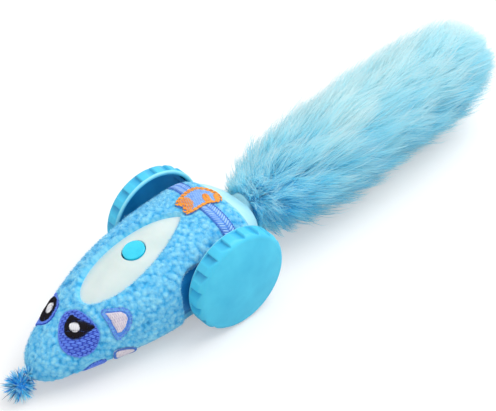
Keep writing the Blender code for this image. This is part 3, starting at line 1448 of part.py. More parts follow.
def make_grommet(material, parent):
    """A rubber ring in the rear cap's tube: a round seat for the wire's bead, then a mouth that flares."""
    seat = TAIL_BEAD_RADIUS + FIT_GAP
    end = TUBE_PAST_PIVOT
    neck = seat * 0.72
    profile = [(end - SOCKET_TUBE_LENGTH, GROMMET_RADIUS), (end, GROMMET_RADIUS)]
    profile += [(end, neck * 1.75), (seat * 0.69, neck)]
    for angle in (20, 0, -25, -50):
        turn = math.radians(angle)
        profile.append((seat * math.sin(turn), seat * math.cos(turn)))
    profile.append((end - SOCKET_TUBE_LENGTH, seat * 0.6))
    mesh = along_y(turned_mesh("tail_grommet", profile, SMALL_SIDES + 4, closed=True))
    mesh.transform(Matrix.Translation((0.0, TAIL_PIVOT_Y, TAIL_Z)))
    return add_object("tail_grommet", mesh, material, parent)


def make_tail_wire(material, joint):
    """Spring wire with a round bead on its root, which the grommet holds."""
    bead = TAIL_BEAD_RADIUS
    profile = [(bead * math.sin(math.radians(a)), bead * math.cos(math.radians(a))) for a in (-78, -45, 0, 40)]
    reach = TAIL_LENGTH - WIRE_SHORT_OF_TIP
    profile += [(bead * 1.05, TAIL_WIRE_RADIUS), (reach, TAIL_WIRE_RADIUS)]
    mesh = along_y(turned_mesh("tail_wire", profile, SMALL_SIDES))
    return add_object("tail_wire", mesh, material, joint)


def make_collar(material, joint):
    bore = TAIL_WIRE_RADIUS + FIT_GAP
    rear = COLLAR_START + COLLAR_LENGTH
    profile = (
        (COLLAR_START, bore),
        (COLLAR_START, COLLAR_RADIUS * 0.34),
        (COLLAR_START + COLLAR_LENGTH * 0.4, COLLAR_RADIUS * 0.95),
        (COLLAR_START + COLLAR_LENGTH * 0.5, COLLAR_RADIUS),
        (rear, COLLAR_RADIUS),
        (rear, bore),
    )
    mesh = along_y(turned_mesh("tail_collar", profile, SMALL_SIDES, closed=True))
    return add_object("tail_collar", mesh, material, joint)


def fur_radius(share):
    return TAIL_RADIUS * smooth_value([row[0] for row in TAIL_SHARES], [row[1] for row in TAIL_SHARES], share)


def make_fur(material, joint):
    """The fur's outer form as a skin, open round the collar: real pile is mostly air."""
    mouth = COLLAR_START + COLLAR_LENGTH * 0.45
    length = TAIL_LENGTH - mouth
    shares = [row[0] for row in TAIL_SHARES]
    outside = [(mouth + share * length, fur_radius(share)) for share in shares]
    outside.append((mouth + length, fur_radius(1.0) * 0.3))
    clear = COLLAR_RADIUS + FIT_GAP
    inside = [(mouth, clear)]
    for share in shares[1:-2:3]:
        inside.append((mouth + share * length, max(fur_radius(share) - TAIL_SKIN, clear)))
    inside.append((mouth + length - 2 * TAIL_SKIN, fur_radius(1.0) * 0.6))
    mesh = along_y(turned_mesh("tail_fur", outside[::-1] + inside, TAIL_SIDES))
    return add_object("tail_fur", mesh, material, joint)


# The whole toy


def make_materials():
    return {
        "fleece": make_material("curly fleece", (0.19, 0.56, 0.80), 0.95),
        "shell": make_material("light blue plastic", (0.30, 0.72, 0.86), 0.45),
        "window": make_material("milky plastic", (0.80, 0.84, 0.80), 0.25),
        "button": make_material("cyan plastic", (0.05, 0.72, 0.95), 0.30),
        "tyre": make_material("soft cyan rubber", (0.07, 0.50, 0.78), 0.50),
        "hub": make_material("cyan hub plastic", (0.05, 0.42, 0.70), 0.50),
        "steel": make_material("bright steel", (0.62, 0.63, 0.65), 0.30, 1.0),
        "brass": make_material("brass", (0.75, 0.55, 0.22), 0.35, 1.0),
        "motor": make_material("zinc-plated can", (0.55, 0.56, 0.58), 0.35, 1.0),
        "bush": make_material("white acetal", (0.88, 0.88, 0.86), 0.45),
        "white": make_material("white plastic", (0.85, 0.85, 0.83), 0.50),
        "gear": make_material("white gear plastic", (0.90, 0.90, 0.86), 0.45),
        "gear_dark": make_material("grey gear plastic", (0.45, 0.47, 0.50), 0.45),
        "frame": make_material("black frame plastic", (0.03, 0.03, 0.035), 0.55),
        "black": make_material("black switch plastic", (0.02, 0.02, 0.02), 0.45),
        "board": make_material("green board laminate", (0.02, 0.20, 0.09), 0.45),
        "lens": make_material("clear lamp plastic", (0.85, 0.88, 0.90), 0.15),
        "cell": make_material("silver cell foil", (0.60, 0.61, 0.62), 0.35, 0.8),
        "thread": make_material("violet-blue thread", (0.10, 0.17, 0.78), 0.60),
        "ear": make_material("pale pink thread", (0.86, 0.78, 0.86), 0.60),
        "fish": make_material("orange thread", (0.93, 0.30, 0.02), 0.60),
        "tinsel": make_material("blue foil", (0.02, 0.33, 0.90), 0.20, 0.9),
        "rubber": make_material("grey rubber", (0.10, 0.11, 0.12), 0.80),
        "fur": make_material("blue fur", (0.22, 0.66, 0.90), 0.95),
    }


def stand_on_floor(toy):
    """Lifts the toy onto its wheels and moves it along Y, so that the origin is under its outline's middle."""
    bpy.context.view_layer.update()
    low, high = math.inf, -math.inf
    for piece in bpy.context.scene.objects:
        if piece.type == "MESH" and not piece.hide_render:
            reach = [(piece.matrix_world @ Vector(corner)).y for corner in piece.bound_box]
            low, high = min(low, *reach), max(high, *reach)
    toy.location = (0.0, -(low + high) / 2, WHEEL_RADIUS)
    bpy.context.view_layer.update()


def main():
    clear_scene()
    materials = make_materials()
    toy = add_empty("toy", (0.0, 0.0, 0.0))
    make_lower_shell(materials["shell"], toy)
    make_upper_shell(materials["shell"], toy)
    make_case_screws(materials["steel"], toy)
    make_rear_cap(materials["shell"], toy)
    make_window(materials["window"], toy)
    button_place = (0.0, BUTTON_Y, window_top(0.0, BUTTON_Y))
    button_axis = add_empty("button_axis", button_place, toy, window_slope())
    make_button(materials["button"], materials["black"], button_axis)
    make_board(materials, button_axis)
    make_cell(materials["cell"], toy)
    make_charging(materials, toy)
    make_gear_frame(materials["frame"], toy)
    make_frame_screws(materials["steel"], toy)
    for side, label in ((1, "left"), (-1, "right")):
        make_wheel(side, label, materials, toy)
        make_drive(side, label, materials, toy)
    make_fleece(materials["fleece"], toy)
    make_embroidery(materials, toy)
    make_nose(materials, toy)
    make_tail(materials, toy)
    stand_on_floor(toy)
    print("axle line at y = %.4f m" % toy.location.y)


main()
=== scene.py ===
import math

import bpy
import numpy as np
from mathutils import Matrix, Vector


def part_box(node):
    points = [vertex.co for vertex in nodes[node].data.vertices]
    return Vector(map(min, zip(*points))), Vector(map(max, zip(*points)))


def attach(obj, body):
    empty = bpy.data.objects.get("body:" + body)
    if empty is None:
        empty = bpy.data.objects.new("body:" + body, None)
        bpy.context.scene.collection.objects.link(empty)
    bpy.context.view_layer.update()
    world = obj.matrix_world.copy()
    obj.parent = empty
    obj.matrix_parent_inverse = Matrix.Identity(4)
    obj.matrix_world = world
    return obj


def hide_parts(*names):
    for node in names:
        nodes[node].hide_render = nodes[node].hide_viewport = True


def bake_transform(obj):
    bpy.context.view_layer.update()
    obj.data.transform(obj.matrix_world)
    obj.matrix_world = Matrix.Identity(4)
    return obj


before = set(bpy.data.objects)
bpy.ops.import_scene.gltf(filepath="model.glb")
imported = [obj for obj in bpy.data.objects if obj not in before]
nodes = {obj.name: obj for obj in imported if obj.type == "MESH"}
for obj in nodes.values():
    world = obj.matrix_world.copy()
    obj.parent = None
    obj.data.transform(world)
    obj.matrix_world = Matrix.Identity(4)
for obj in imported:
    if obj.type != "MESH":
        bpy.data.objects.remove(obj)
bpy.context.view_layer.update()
mm = 0.001

axleLow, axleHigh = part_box("axle_left")
axleY = (axleLow.y + axleHigh.y) / 2
axleZ = (axleLow.z + axleHigh.z) / 2
axleLine = np.array([0.0, axleY, axleZ])  # the body's own coordinates start on the line of the axles
print("frame loaded, axle line at", round(axleY, 5), round(axleZ, 5))

# Helpers for meshes


def addMesh(name, points, faceGroups, values=None):
    # Points are rows of x, y, z; each face group is rows of corner numbers with one count of corners.
    mesh = bpy.data.meshes.new(name)
    points = np.ascontiguousarray(np.asarray(points, np.float32).reshape(-1, 3))
    corners = np.concatenate([group.ravel() for group in faceGroups]).astype(np.int32)
    sizes = np.concatenate([np.full(len(group), group.shape[1]) for group in faceGroups])
    starts = np.concatenate([[0], np.cumsum(sizes)[:-1]]).astype(np.int32)
    mesh.vertices.add(len(points))
    mesh.vertices.foreach_set("co", points.ravel())
    mesh.loops.add(len(corners))
    mesh.loops.foreach_set("vertex_index", corners)
    mesh.polygons.add(len(starts))
    mesh.polygons.foreach_set("loop_start", starts)
    mesh.polygons.foreach_set("use_smooth", np.ones(len(starts), bool))
    mesh.update(calc_edges=True)
    mesh.validate()
    for key, numbers in (values or {}).items():
        layer = mesh.attributes.new(key, "FLOAT", "POINT")
        layer.data.foreach_set("value", np.ascontiguousarray(numbers, np.float32).ravel())
    piece = bpy.data.objects.new(name, mesh)
    bpy.context.scene.collection.objects.link(piece)
    return piece


def finish(piece, material, body, replaced=None):
    piece.data.materials.append(material)
    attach(piece, body)
    if replaced:
        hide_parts(replaced)


def gridFaces(rows, columns):
    # Each cell of a grid joins its four corners; the last column joins the first.
    r, c = np.meshgrid(np.arange(rows - 1), np.arange(columns), indexing="ij")
    here, after = r * columns + c, r * columns + (c + 1) % columns
    return np.stack([here, after, after + columns, here + columns], -1).reshape(-1, 4)


def outward(points, faceGroups):
    # The sum of the small volumes between the faces and the middle is positive when the faces point outwards.
    middle = points.mean(0)
    volume = 0.0
    for group in faceGroups:
        a, b, c = (points[group[:, k]] - middle for k in range(3))
        volume += np.einsum("ij,ij->i", a, np.cross(b, c)).sum()
        if group.shape[1] == 4:
            d = points[group[:, 3]] - middle
            volume += np.einsum("ij,ij->i", a, np.cross(c, d)).sum()
    return faceGroups if volume > 0 else [group[:, ::-1] for group in faceGroups]


def ringStack(rings, capped=True):
    # A skin through rings of points; a cap closes each end by a fan to the middle of its ring.
    rows, columns = rings.shape[:2]
    points, groups = rings.reshape(-1, 3), [gridFaces(rows, columns)]
    if capped:
        around = np.arange(columns)
        after, last, middle = (around + 1) % columns, (rows - 1) * columns, rows * columns
        points = np.vstack([points, rings[0].mean(0), rings[-1].mean(0)])
        groups.append(np.stack([np.full(columns, middle), after, around], -1))
        groups.append(np.stack([np.full(columns, middle + 1), last + around, last + after], -1))
    return points, outward(points, groups)


def turned(profile, sides, origin, axis, dents=0):
    # A profile of (along, radius) carried round an axis; dents is a depth for each profile point and side.
    axis = np.asarray(axis, float) / np.linalg.norm(axis)
    across = np.cross(axis, [1.0, 0.0, 0.0] if abs(axis[0]) < 0.9 else [0.0, 0.0, 1.0])
    across /= np.linalg.norm(across)
    turn = 2 * np.pi * np.arange(sides) / sides
    spokes = np.cos(turn)[:, None] * across + np.sin(turn)[:, None] * np.cross(axis, across)
    profile = np.asarray(profile, float)
    radius = (profile[:, 1:2] - dents) * np.ones(sides)
    return np.asarray(origin) + profile[:, 0][:, None, None] * axis + radius[:, :, None] * spokes


def softCurve(points, steps):
    # A curve through the points: Catmull and Rom's cubic, with the end points doubled.
    p = np.vstack([points[:1], points, points[-1:]]).astype(float)
    t = np.linspace(0, 1, steps, endpoint=False)[None, :, None]
    a, b, c, d = p[:-3, None], p[1:-2, None], p[2:-1, None], p[3:, None]
    curve = 0.5 * (2 * b + (c - a) * t + (2 * a - 5 * b + 4 * c - d) * t**2 + (3 * b - a - 3 * c + d) * t**3)
    return np.vstack([curve.reshape(-1, p.shape[1]), p[-1:]])


def smoothStep(value):
    value = np.clip(value, 0, 1)
    return value * value * (3 - 2 * value)


def unit(vectors):
    return vectors / np.maximum(np.linalg.norm(vectors, axis=-1, keepdims=True), 1e-12)


def cellFraction(cells, seed):
    # Every whole-number cell has its own fixed fraction, from the scrambled bits of its three numbers.
    a, b, c = (cells[..., k] * prime for k, prime in enumerate((73856093, 19349663, 83492791)))
    n = a ^ b ^ c ^ (seed * 6971 + 17)
    n = (n ^ (n >> 13)) * 1274126177
    n = n ^ (n >> 16)
    return (n & 0xFFFFFF) / 0xFFFFFF


def softNoise(points, size, seed):
    # Noise from 0 to 1: the fractions of the eight cells round a point, blended smoothly.
    place = points / size
    cell = np.floor(place).astype(np.int64)
    share = smoothStep(place - cell)
    total = np.zeros(points.shape[:-1])
    for corner in np.ndindex(2, 2, 2):
        weight = np.prod(np.where(corner, share, 1 - share), -1)
        total += weight * cellFraction(cell + np.array(corner), seed)
    return total


def knobs(points, size, seed):
    # Distance to the nearest scattered knob centre, as a share of their spacing, and that knob's fraction.
    place = points / size
    cell = np.floor(place).astype(np.int64)
    best = np.full(points.shape[:-1], 9.0)
    own = np.zeros(points.shape[:-1])
    for step in np.ndindex(3, 3, 3):
        other = cell + np.array(step) - 1
        centre = other + np.stack([cellFraction(other, seed + k) for k in range(3)], -1)
        distance = np.linalg.norm(place - centre, axis=-1)
        nearer = distance < best
        best = np.where(nearer, distance, best)
        own = np.where(nearer, cellFraction(other, seed + 9), own)
    return best, own


def ribbons(name, centres, sides, widths, shades):
    # Flat strands: each centre line gets a point on either side at half its width.
    count, steps = centres.shape[:2]
    half = sides * widths[..., None] / 2
    points = np.stack([centres - half, centres + half], 2).reshape(-1, 3)
    base = (np.arange(count) * steps * 2)[:, None] + (np.arange(steps - 1) * 2)[None, :]
    faces = np.stack([base, base + 1, base + 3, base + 2], -1).reshape(-1, 4)
    return addMesh(name, points, [faces], {"shade": np.repeat(shades.ravel(), 2)})


# Helpers for materials


def paint(red, green, blue):
    # The screen's colour numbers, 0 to 255, made linear.
    c = np.array([red, green, blue]) / 255
    c = np.where(c <= 0.04045, c / 12.92, ((c + 0.055) / 1.055) ** 2.4)
    return (*c.tolist(), 1.0)


def newMaterial(name, **settings):
    material = bpy.data.materials.new(name)
    material.use_nodes = True
    shader = material.node_tree.nodes["Principled BSDF"]
    for key, value in settings.items():
        shader.inputs[key.replace("_", " ")].default_value = value
    return material, material.node_tree, shader


def addNode(tree, kind, settings=None, numbered=None, **named):
    # Inputs go in by name or by number, each as a value or as a link.
    node = tree.nodes.new("ShaderNode" + kind)
    for key, value in (settings or {}).items():
        setattr(node, key, value)
    sockets = [(node.inputs[key.replace("_", " ")], value) for key, value in named.items()]
    sockets += [(node.inputs[key], value) for key, value in (numbered or {}).items()]
    for socket, value in sockets:
        if isinstance(value, bpy.types.NodeSocket):
            tree.links.new(value, socket)
        else:
            socket.default_value = value
    return node


def maths(tree, operation, *values):
    return addNode(tree, "Math", {"operation": operation}, dict(enumerate(values))).outputs[0]


def mapped(tree, value, **limits):
    return addNode(tree, "MapRange", Value=value, **limits).outputs["Result"]


def attribute(tree, name):
    return addNode(tree, "Attribute", {"attribute_name": name}).outputs["Fac"]


def mixColours(tree, blend, factor, first, second):
    settings = {"data_type": "RGBA", "blend_type": blend}
    return addNode(tree, "Mix", settings, {0: factor, 6: first, 7: second}).outputs[2]


def ramp(tree, factor, stops):
    # A colour ramp from stops of (place, colour).
    node = addNode(tree, "ValToRGB", Fac=factor)
    elements = node.color_ramp.elements
    while len(elements) < len(stops):
        elements.new(0.5)
    for element, (place, colour) in zip(elements, stops):
        element.position = place
        element.color = paint(*colour)
    return node.outputs["Color"]


def setBase(tree, shader, colour):
    tree.links.new(colour, shader.inputs["Base Color"])


def setSurface(tree, output):
    tree.links.new(output, tree.nodes["Material Output"].inputs["Surface"])


def objectNoise(tree, scale, detail=3.0, rough=0.55, stretch=None):
    place = addNode(tree, "TexCoord").outputs["Object"]
    if stretch:
        place = addNode(tree, "Mapping", Vector=place, Scale=stretch).outputs["Vector"]
    return addNode(tree, "TexNoise", Vector=place, Scale=scale, Detail=detail, Roughness=rough).outputs["Fac"]


def addBump(tree, shader, height, strength, distance):
    bump = addNode(tree, "Bump", Height=height, Strength=strength, Distance=distance)
    tree.links.new(bump.outputs["Normal"], shader.inputs["Normal"])


def moulded(name, low, high, rough, scale, grain, grainScale=2600.0, **settings):
    # Moulded plastic, rubber or metal: slow colour drift, uneven gloss and a fine surface grain.
    material, tree, shader = newMaterial(name, **settings)
    drift = objectNoise(tree, scale)
    setBase(tree, shader, ramp(tree, drift, [(0.3, low), (0.7, high)]))
    gloss = mapped(tree, drift, To_Min=rough * 0.88, To_Max=rough * 1.12)
    tree.links.new(gloss, shader.inputs["Roughness"])
    addBump(tree, shader, objectNoise(tree, grainScale), grain, 0.00008)
    return material


def deepen(material, name, shade, blend="MULTIPLY"):
    # The colour is multiplied by a deeper shade, or mixed with a paler one, where the attribute is high.
    tree = material.node_tree
    shader = tree.nodes["Principled BSDF"]
    colour = shader.inputs["Base Color"].links[0].from_socket
    setBase(tree, shader, mixColours(tree, blend, attribute(tree, name), colour, paint(*shade)))


# The body's form, in the axle's own frame, as the solids have it

bodyForm = {
    "noseReach": 92.5 * mm,
    "rumpReach": 31 * mm,
    "width": 53 * mm,
    "belly": -22.71 * mm,
    "depth": 45.17 * mm,
    "middleShare": 0.40,
    "roofPower": 3.4,
    "coverRear": 17.05 * mm,
    # how far the cover is drawn up under the snout: along and rise, in mm
    "bellyRise": [
        (-92.5, 0.8), (-89.5, 2.4), (-84, 4.2), (-77, 4.8), (-68, 3.6), (-58, 1.9), (-48, 0.7), (-38, 0),
    ],
    # how far it is drawn in on each side of the head, in mm
    "drawnIn": [(-92.5, 0.3), (-88, 0.8), (-80, 1.1), (-66, 1.1), (-54, 0.6), (-44, 0)],
    # along, half width, belly, roof and the belly's power
    "stations": [
        (-1, 0.17, 0.107, 0.192, 2.0), (-0.968, 0.35, 0.067, 0.280, 2.0),
        (-0.908, 0.505, 0.040, 0.382, 2.05), (-0.832, 0.626, 0.025, 0.479, 2.15),
        (-0.627, 0.82, 0.003, 0.700, 2.45), (-0.476, 0.915, 0.003, 0.811, 2.65),
        (-0.324, 0.975, 0.005, 0.889, 2.8), (-0.130, 1, 0.005, 0.968, 2.8), (0.194, 1, 0.016, 1, 2.8),
        (0.580, 0.905, 0.105, 0.937, 2.8), (0.839, 0.66, 0.263, 0.811, 2.8), (1, 0.24, 0.505, 0.684, 2.8),
    ],
}
stations = np.array(bodyForm["stations"], float)
stationPlaces = np.where(stations[:, 0] > 0, bodyForm["rumpReach"], bodyForm["noseReach"]) * stations[:, 0]


def smoothValue(places, values, place):
    # A cubic through the stations with harmonic-mean slopes, which never swings past them.
    steps = np.diff(places)
    rises = np.diff(values) / steps
    product = rises[:-1] * rises[1:]
    mean = 2 * product / np.where(product > 0, rises[:-1] + rises[1:], 1)
    slopes = np.concatenate([rises[:1], np.where(product > 0, mean, 0), rises[-1:]])
    place = np.clip(place, places[0], places[-1])
    k = np.clip(np.searchsorted(places, place, side="right") - 1, 0, len(steps) - 1)
    t = (place - places[k]) / steps[k]
    return (
        values[k] * (1 + 2 * t) * (1 - t) ** 2
        + slopes[k] * steps[k] * t * (1 - t) ** 2
        + values[k + 1] * t * t * (3 - 2 * t)
        + slopes[k + 1] * steps[k] * t * t * (t - 1)
    )


def bodySection(y):
    # Half width, belly, middle and roof of the body's section at y.
    width, low, high = (smoothValue(stationPlaces, stations[:, k], y) for k in (1, 2, 3))
    half = bodyForm["width"] / 2 * width - np.interp(y / mm, *zip(*bodyForm["drawnIn"])) * mm
    belly, roof = (bodyForm["belly"] + bodyForm["depth"] * share for share in (low, high))
    rise = np.interp(y / mm, *zip(*bodyForm["bellyRise"])) * mm
    return half, belly + rise, belly + bodyForm["middleShare"] * (roof - belly), roof


def bodyPoint(y, angle, lift=0.0, size=1.0):
    # The section is two half superellipses; a point lies where the ray at angle from the middle meets them.
    half, belly, middle, roof = bodySection(y)
    c, s = np.cos(angle), np.sin(angle)
    rise = np.where(s > 0, roof - middle, middle - belly) + lift
    power = np.where(s > 0, bodyForm["roofPower"], smoothValue(stationPlaces, stations[:, 4], y))
    reach = (np.abs(c / (half + lift)) ** power + np.abs(s / rise) ** power) ** (-1 / power) * size
    return np.stack([reach * c, y * np.ones_like(reach), middle + reach * s], -1) + axleLine


def roofHeight(x, y):
    half, _, middle, roof = bodySection(y)
    power = bodyForm["roofPower"]
    return middle + (roof - middle) * (1 - np.minimum(np.abs(x) / half, 0.999) ** power) ** (1 / power)


# Window outline, shared by the cover and the window

windowForm = {
    "front": -61.975 * mm,
    "rear": -4.995 * mm,
    "width": 25 * mm,
    "sunk": 1.5 * mm,
    "rise": 2.2 * mm,
    "crown": 3.3 * mm,
    "frontPower": 0.5,
    "rearPower": 0.8,
    "buttonY": -32.03 * mm,
    "holeRadius": 5.6 * mm,
    "wall": 1.8 * mm,
    "seatDrop": 5.4 * mm,
}


def windowHalf(share):
    # Half the window's width: a power of the share from the front times another of the share left.
    share = np.clip(share, 0, 1)
    front, rear = windowForm["frontPower"], windowForm["rearPower"]
    peak = front / (front + rear)
    return windowForm["width"] / 2 * share**front * (1 - share) ** rear / (peak**front * (1 - peak) ** rear)


def windowTop(x, y):
    share = np.clip((y - windowForm["front"]) / (windowForm["rear"] - windowForm["front"]), 0, 1)
    ridge = bodySection(y)[3] - windowForm["sunk"] + windowForm["rise"] * np.sin(np.pi * share)
    return ridge - windowForm["crown"] * (2 * x / windowForm["width"]) ** 2


def windowRim(count):
    turn = 2 * np.pi * np.arange(count) / count
    share = (1 - np.cos(turn)) / 2
    x = np.where(turn <= np.pi, 1, -1) * windowHalf(share)
    return np.stack([x, windowForm["front"] + share * (windowForm["rear"] - windowForm["front"])], -1)


def outlineDistance(points, outline):
    # Signed distance in the plane from each point to a closed outline, negative inside it.
    best = np.full(len(points), 1e9)
    inside = np.zeros(len(points), bool)
    for start, end in zip(outline, np.roll(outline, -1, 0)):
        edge, away = end - start, points - start
        share = np.clip(away @ edge / max(edge @ edge, 1e-18), 0, 1)
        best = np.minimum(best, np.linalg.norm(away - share[:, None] * edge, axis=1))
        crosses = (start[1] > points[:, 1]) != (end[1] > points[:, 1])
        run = edge[0] * (points[:, 1] - start[1]) / (edge[1] + 1e-18) + start[0]
        inside ^= crosses & (points[:, 0] < run)
    return np.where(inside, -best, best)


def boxDistance(u, v, middle, half, corner):
    # Signed distance to a rectangle with round corners; its sizes are in mm.
    middle, half, corner = (np.array(value) * mm for value in (middle, half, corner))
    q = np.abs(np.stack([u, v], -1) - middle) - (half - corner)
    return np.linalg.norm(np.maximum(q, 0), axis=-1) + np.minimum(q.max(-1), 0) - corner


# Embroidery outlines, as (y in mm, angle in degrees) on the left side of the body

embroidery = {
    "eye": {
        "rounds": 2,
        "outline": [
            (-73.3, 98), (-69.4, 99), (-65.8, 83), (-65.0, 62), (-64.9, 47), (-65.3, 36),
            (-67.6, 27), (-71.1, 20), (-76.4, 24), (-80.0, 38), (-80.2, 58), (-77.2, 82),
        ],
        "rightOutline": [
            (-66.8, 50), (-68.6, 61), (-71.0, 63.5), (-73.8, 64.5), (-76.4, 63), (-78.6, 54), (-79.4, 40),
            (-79.4, 20), (-76.4, 4), (-71.1, 0), (-66.6, 6), (-64.9, 22), (-65.2, 40),
        ],
    },
    "pupil": {
        "rounds": 1,
        "outline": [
            (-74.0, 80), (-72.2, 84), (-68.6, 87), (-68.4, 74), (-66.9, 58),
            (-64.9, 46), (-69.2, 46), (-72.8, 46), (-75.3, 51), (-76.2, 65),
        ],
        "rightOutline": [
            (-67.0, 48), (-68.6, 58), (-70.8, 61), (-73.6, 62.5), (-76.0, 61),
            (-78.2, 52), (-78.0, 42), (-75.5, 33), (-71.0, 30), (-68.0, 36),
        ],
    },
    "glint": {
        "rounds": 1,
        "outline": [(-73.6, 66), (-72.2, 75), (-70.4, 72), (-69.3, 63), (-71.0, 55), (-72.9, 57)],
        "rightOutline": [(-74.8, 49), (-74.4, 56.5), (-72.2, 58.5), (-70.1, 56), (-70.0, 50), (-72.3, 44)],
    },
    "ear": {
        "rounds": 1,
        "right": (0, -28),
        "outline": [
            (-60.3, 59), (-56.0, 50.5), (-51.6, 43.5), (-50.8, 36), (-51.5, 29),
            (-54.4, 20.5), (-57.4, 17.5), (-59.2, 17), (-60.4, 23), (-60.6, 41),
        ],
    },
    "earFill": {
        "rounds": 0,
        "outline": [
            (-59.2, 51.5), (-54.0, 43.5), (-52.6, 38), (-52.9, 33),
            (-55.0, 27), (-57.2, 24.5), (-58.7, 26), (-59.1, 36),
        ],
    },
    "cheek": {
        "rounds": 2,
        "right": (0, -6),
        "outline": [
            (-77.5, -9), (-75.2, -2), (-71.0, 3), (-66.6, -1), (-65.2, -7), (-68.0, -14), (-73.5, -16),
        ],
    },
    "paw": {
        "rounds": 2,
        "right": (0, -6),
        "outline": [(-62.4, 4), (-58.0, 1), (-51.6, -10), (-53.0, -22), (-58.0, -24), (-62.2, -12)],
    },
}


def roundOutline(outline, rounds):
    # Cuts every corner at a quarter and three quarters of its sides, several times.
    for _ in range(rounds):
        after = np.roll(outline, -1, 0)
        outline = np.stack([0.75 * outline + 0.25 * after, 0.25 * outline + 0.75 * after], 1).reshape(-1, 2)
    return outline


def patchPlace(key):
    # A patch's own flat frame: its centre on the body and how far one radian reaches there.
    centre = (np.array(embroidery[key]["outline"], float) * [mm, math.pi / 180]).mean(0)
    middle = bodySection(centre[0])[2]
    return centre, np.linalg.norm(bodyPoint(*centre) - axleLine - [0, centre[0], middle])


def patchShift(key, side):
    # The cover is sewn a little turned, so the patches of the right side lie lower.
    along, turn = embroidery[key].get("right", (0, 0)) if side < 0 else (0, 0)
    return along * mm, math.radians(turn)


def patchOutline(key, side, frameOf=None):
    # The outline in metres in the flat frame of a patch, along the body and round it.
    centre, reach = patchPlace(frameOf or key)
    own = "rightOutline" if side < 0 and "rightOutline" in embroidery[key] else "outline"
    outline = np.array(embroidery[key][own], float) * [mm, math.pi / 180]
    return roundOutline((outline - centre) * [1, reach], embroidery[key]["rounds"])


beltForm = {
    "y": 6.3 * mm,
    "width": 6.7 * mm,
    "halfArc": math.radians(46),
    "slantNear": 0.9 * mm,
    "slantFar": -1.6 * mm,
    "slantPower": 1.5,
    "reach": 27.1 * mm,
    "top": 0.62 * mm,
    "under": 0.4 * mm,
    "barStep": 1.2 * mm,
    "barRise": 0.75 * mm,
    "seam": 0.15 * mm,
    "border": 0.5 * mm,
    "endMargin": 0.3 * mm,
}
halfBelt, halfLength = beltForm["width"] / 2, beltForm["reach"] * beltForm["halfArc"]
fishForm = {
    "x": 2 * mm,
    "y": 6 * mm,
    "turn": 67,
    # outlines in mm, along the fish and across it
    "shape": [
        (-11.6, 3.9), (-6.4, 8.4), (-1.2, 11.4), (2.6, 11.6), (6.0, 10.3), (8.8, 7.6),
        (10.1, 4.0), (9.9, 0.7), (7.6, -1.4), (3.5, -1.5), (-0.2, -2.6), (-4.2, -4.3),
        (-8.4, -5.3), (-9.4, -3.1), (-8.3, 0.3), (-10.6, 1.2),
    ],
    "tail": [
        (-10.4, 3.2), (-6.6, 6.2), (-4.4, 4.8), (-3.2, 1.0), (-4.6, -2.8),
        (-8.0, -4.0), (-8.2, -2.0), (-7.2, 0.8), (-9.6, 1.9),
    ],
    "gill": [(1.8, -1.6), (1.0, 1.6), (1.4, 4.4), (3.0, 6.0), (4.8, 4.6), (4.6, 1.6), (5.2, -1.0)],
    "head": [(6.4, -0.6), (6.0, 1.6), (6.6, 4.6), (8.2, 5.6), (9.2, 4.0), (9.2, 1.0), (7.6, -0.8)],
}


def beltSlant(v):
    # The belt slants forwards as it goes down the left side, and backwards down the right.
    share = np.abs(v / halfLength) ** beltForm["slantPower"]
    return np.where(v < 0, beltForm["slantNear"], beltForm["slantFar"]) * share


def beltPoint(u, v, lift):
    # Across the belt and along it.
    return bodyPoint(beltForm["y"] + u - beltSlant(v), math.pi / 2 + v / beltForm["reach"], lift)


def fishOutline(key="shape"):
    # The fish's own frame is turned on to the back, as distances to the rear and to the right.
    c, s = math.cos(math.radians(fishForm["turn"])), math.sin(math.radians(fishForm["turn"]))
    x, y = (np.array(fishForm[key]) * mm).T
    return roundOutline(np.stack([x * s + y * c, y * s - x * c], -1), 2)


def fishPoint(u, v, lift):
    x, y = fishForm["x"] - v, fishForm["y"] + u
    return bodyPoint(y, np.arctan2(roofHeight(x, y) - bodySection(y)[2], x), lift)


# Fleece cover

fleece = {
    "rows": 236,
    "columns": 330,
    "noseCap": 1.3 * mm,
    "rollRadius": 1.2 * mm,
    "rollDepth": 2.5 * mm,
    "knobSize": 2.0 * mm,
    "warpSize": 1.7 * mm,
    "warp": 1.2 * mm,
    "fineSize": 0.7 * mm,
    "pile": 1.0 * mm,
    "sink": 3.4 * mm,
    "sinkSlope": 1.6,
    "wheelSide": 27 * mm,
    "wheelRadius": 27 * mm,
    "underShare": 0.6,
    "underSink": 0.4 * mm,
    # a crease runs along each flank: along in mm and its angle in degrees
    "crease": [(-58, 9), (-52, 6), (-46, 4.5), (-38, -1), (-30, -9), (-22, -14)],
    "creaseDepth": 0.45 * mm,
    "creaseWidth": 0.7 * mm,
    "flankRadius": 25 * mm,
    "fuzz": 32000,
    "fuzzLength": 1.15 * mm,
    "fuzzWidth": 0.10 * mm,
    "fuzzTaper": [1, 1, 0.9, 0.7, 0.3],
}


def coverGrid():
    # Rows run from the rounded nose tip to the rolled rear edge; each row is a section of the body.
    cap = np.linspace(0, np.pi / 2, 9)[:-1]
    roll = np.linspace(0, np.pi / 2, 6)
    nose, rear, r = -bodyForm["noseReach"], bodyForm["coverRear"], fleece["rollRadius"]
    straight = fleece["rows"] - 1
    along = np.linspace(nose, rear - r, straight + 1)[:-1]
    y = np.concatenate([nose - fleece["noseCap"] * np.cos(cap), along, rear - r + r * np.sin(roll), [rear]])
    size = np.concatenate([np.maximum(np.sin(cap), 0.02), np.ones(straight + len(roll) + 1)])
    lift = np.concatenate([np.zeros(len(cap) + straight), -r * (1 - np.cos(roll)), [-fleece["rollDepth"]]])
    angle = 2 * np.pi * np.arange(fleece["columns"]) / fleece["columns"]
    section = np.maximum(y, nose)
    grid = bodyPoint(section[:, None], angle[None, :], lift[:, None], size[:, None])
    grid[..., 1] += (y - section)[:, None]
    return y, angle, grid


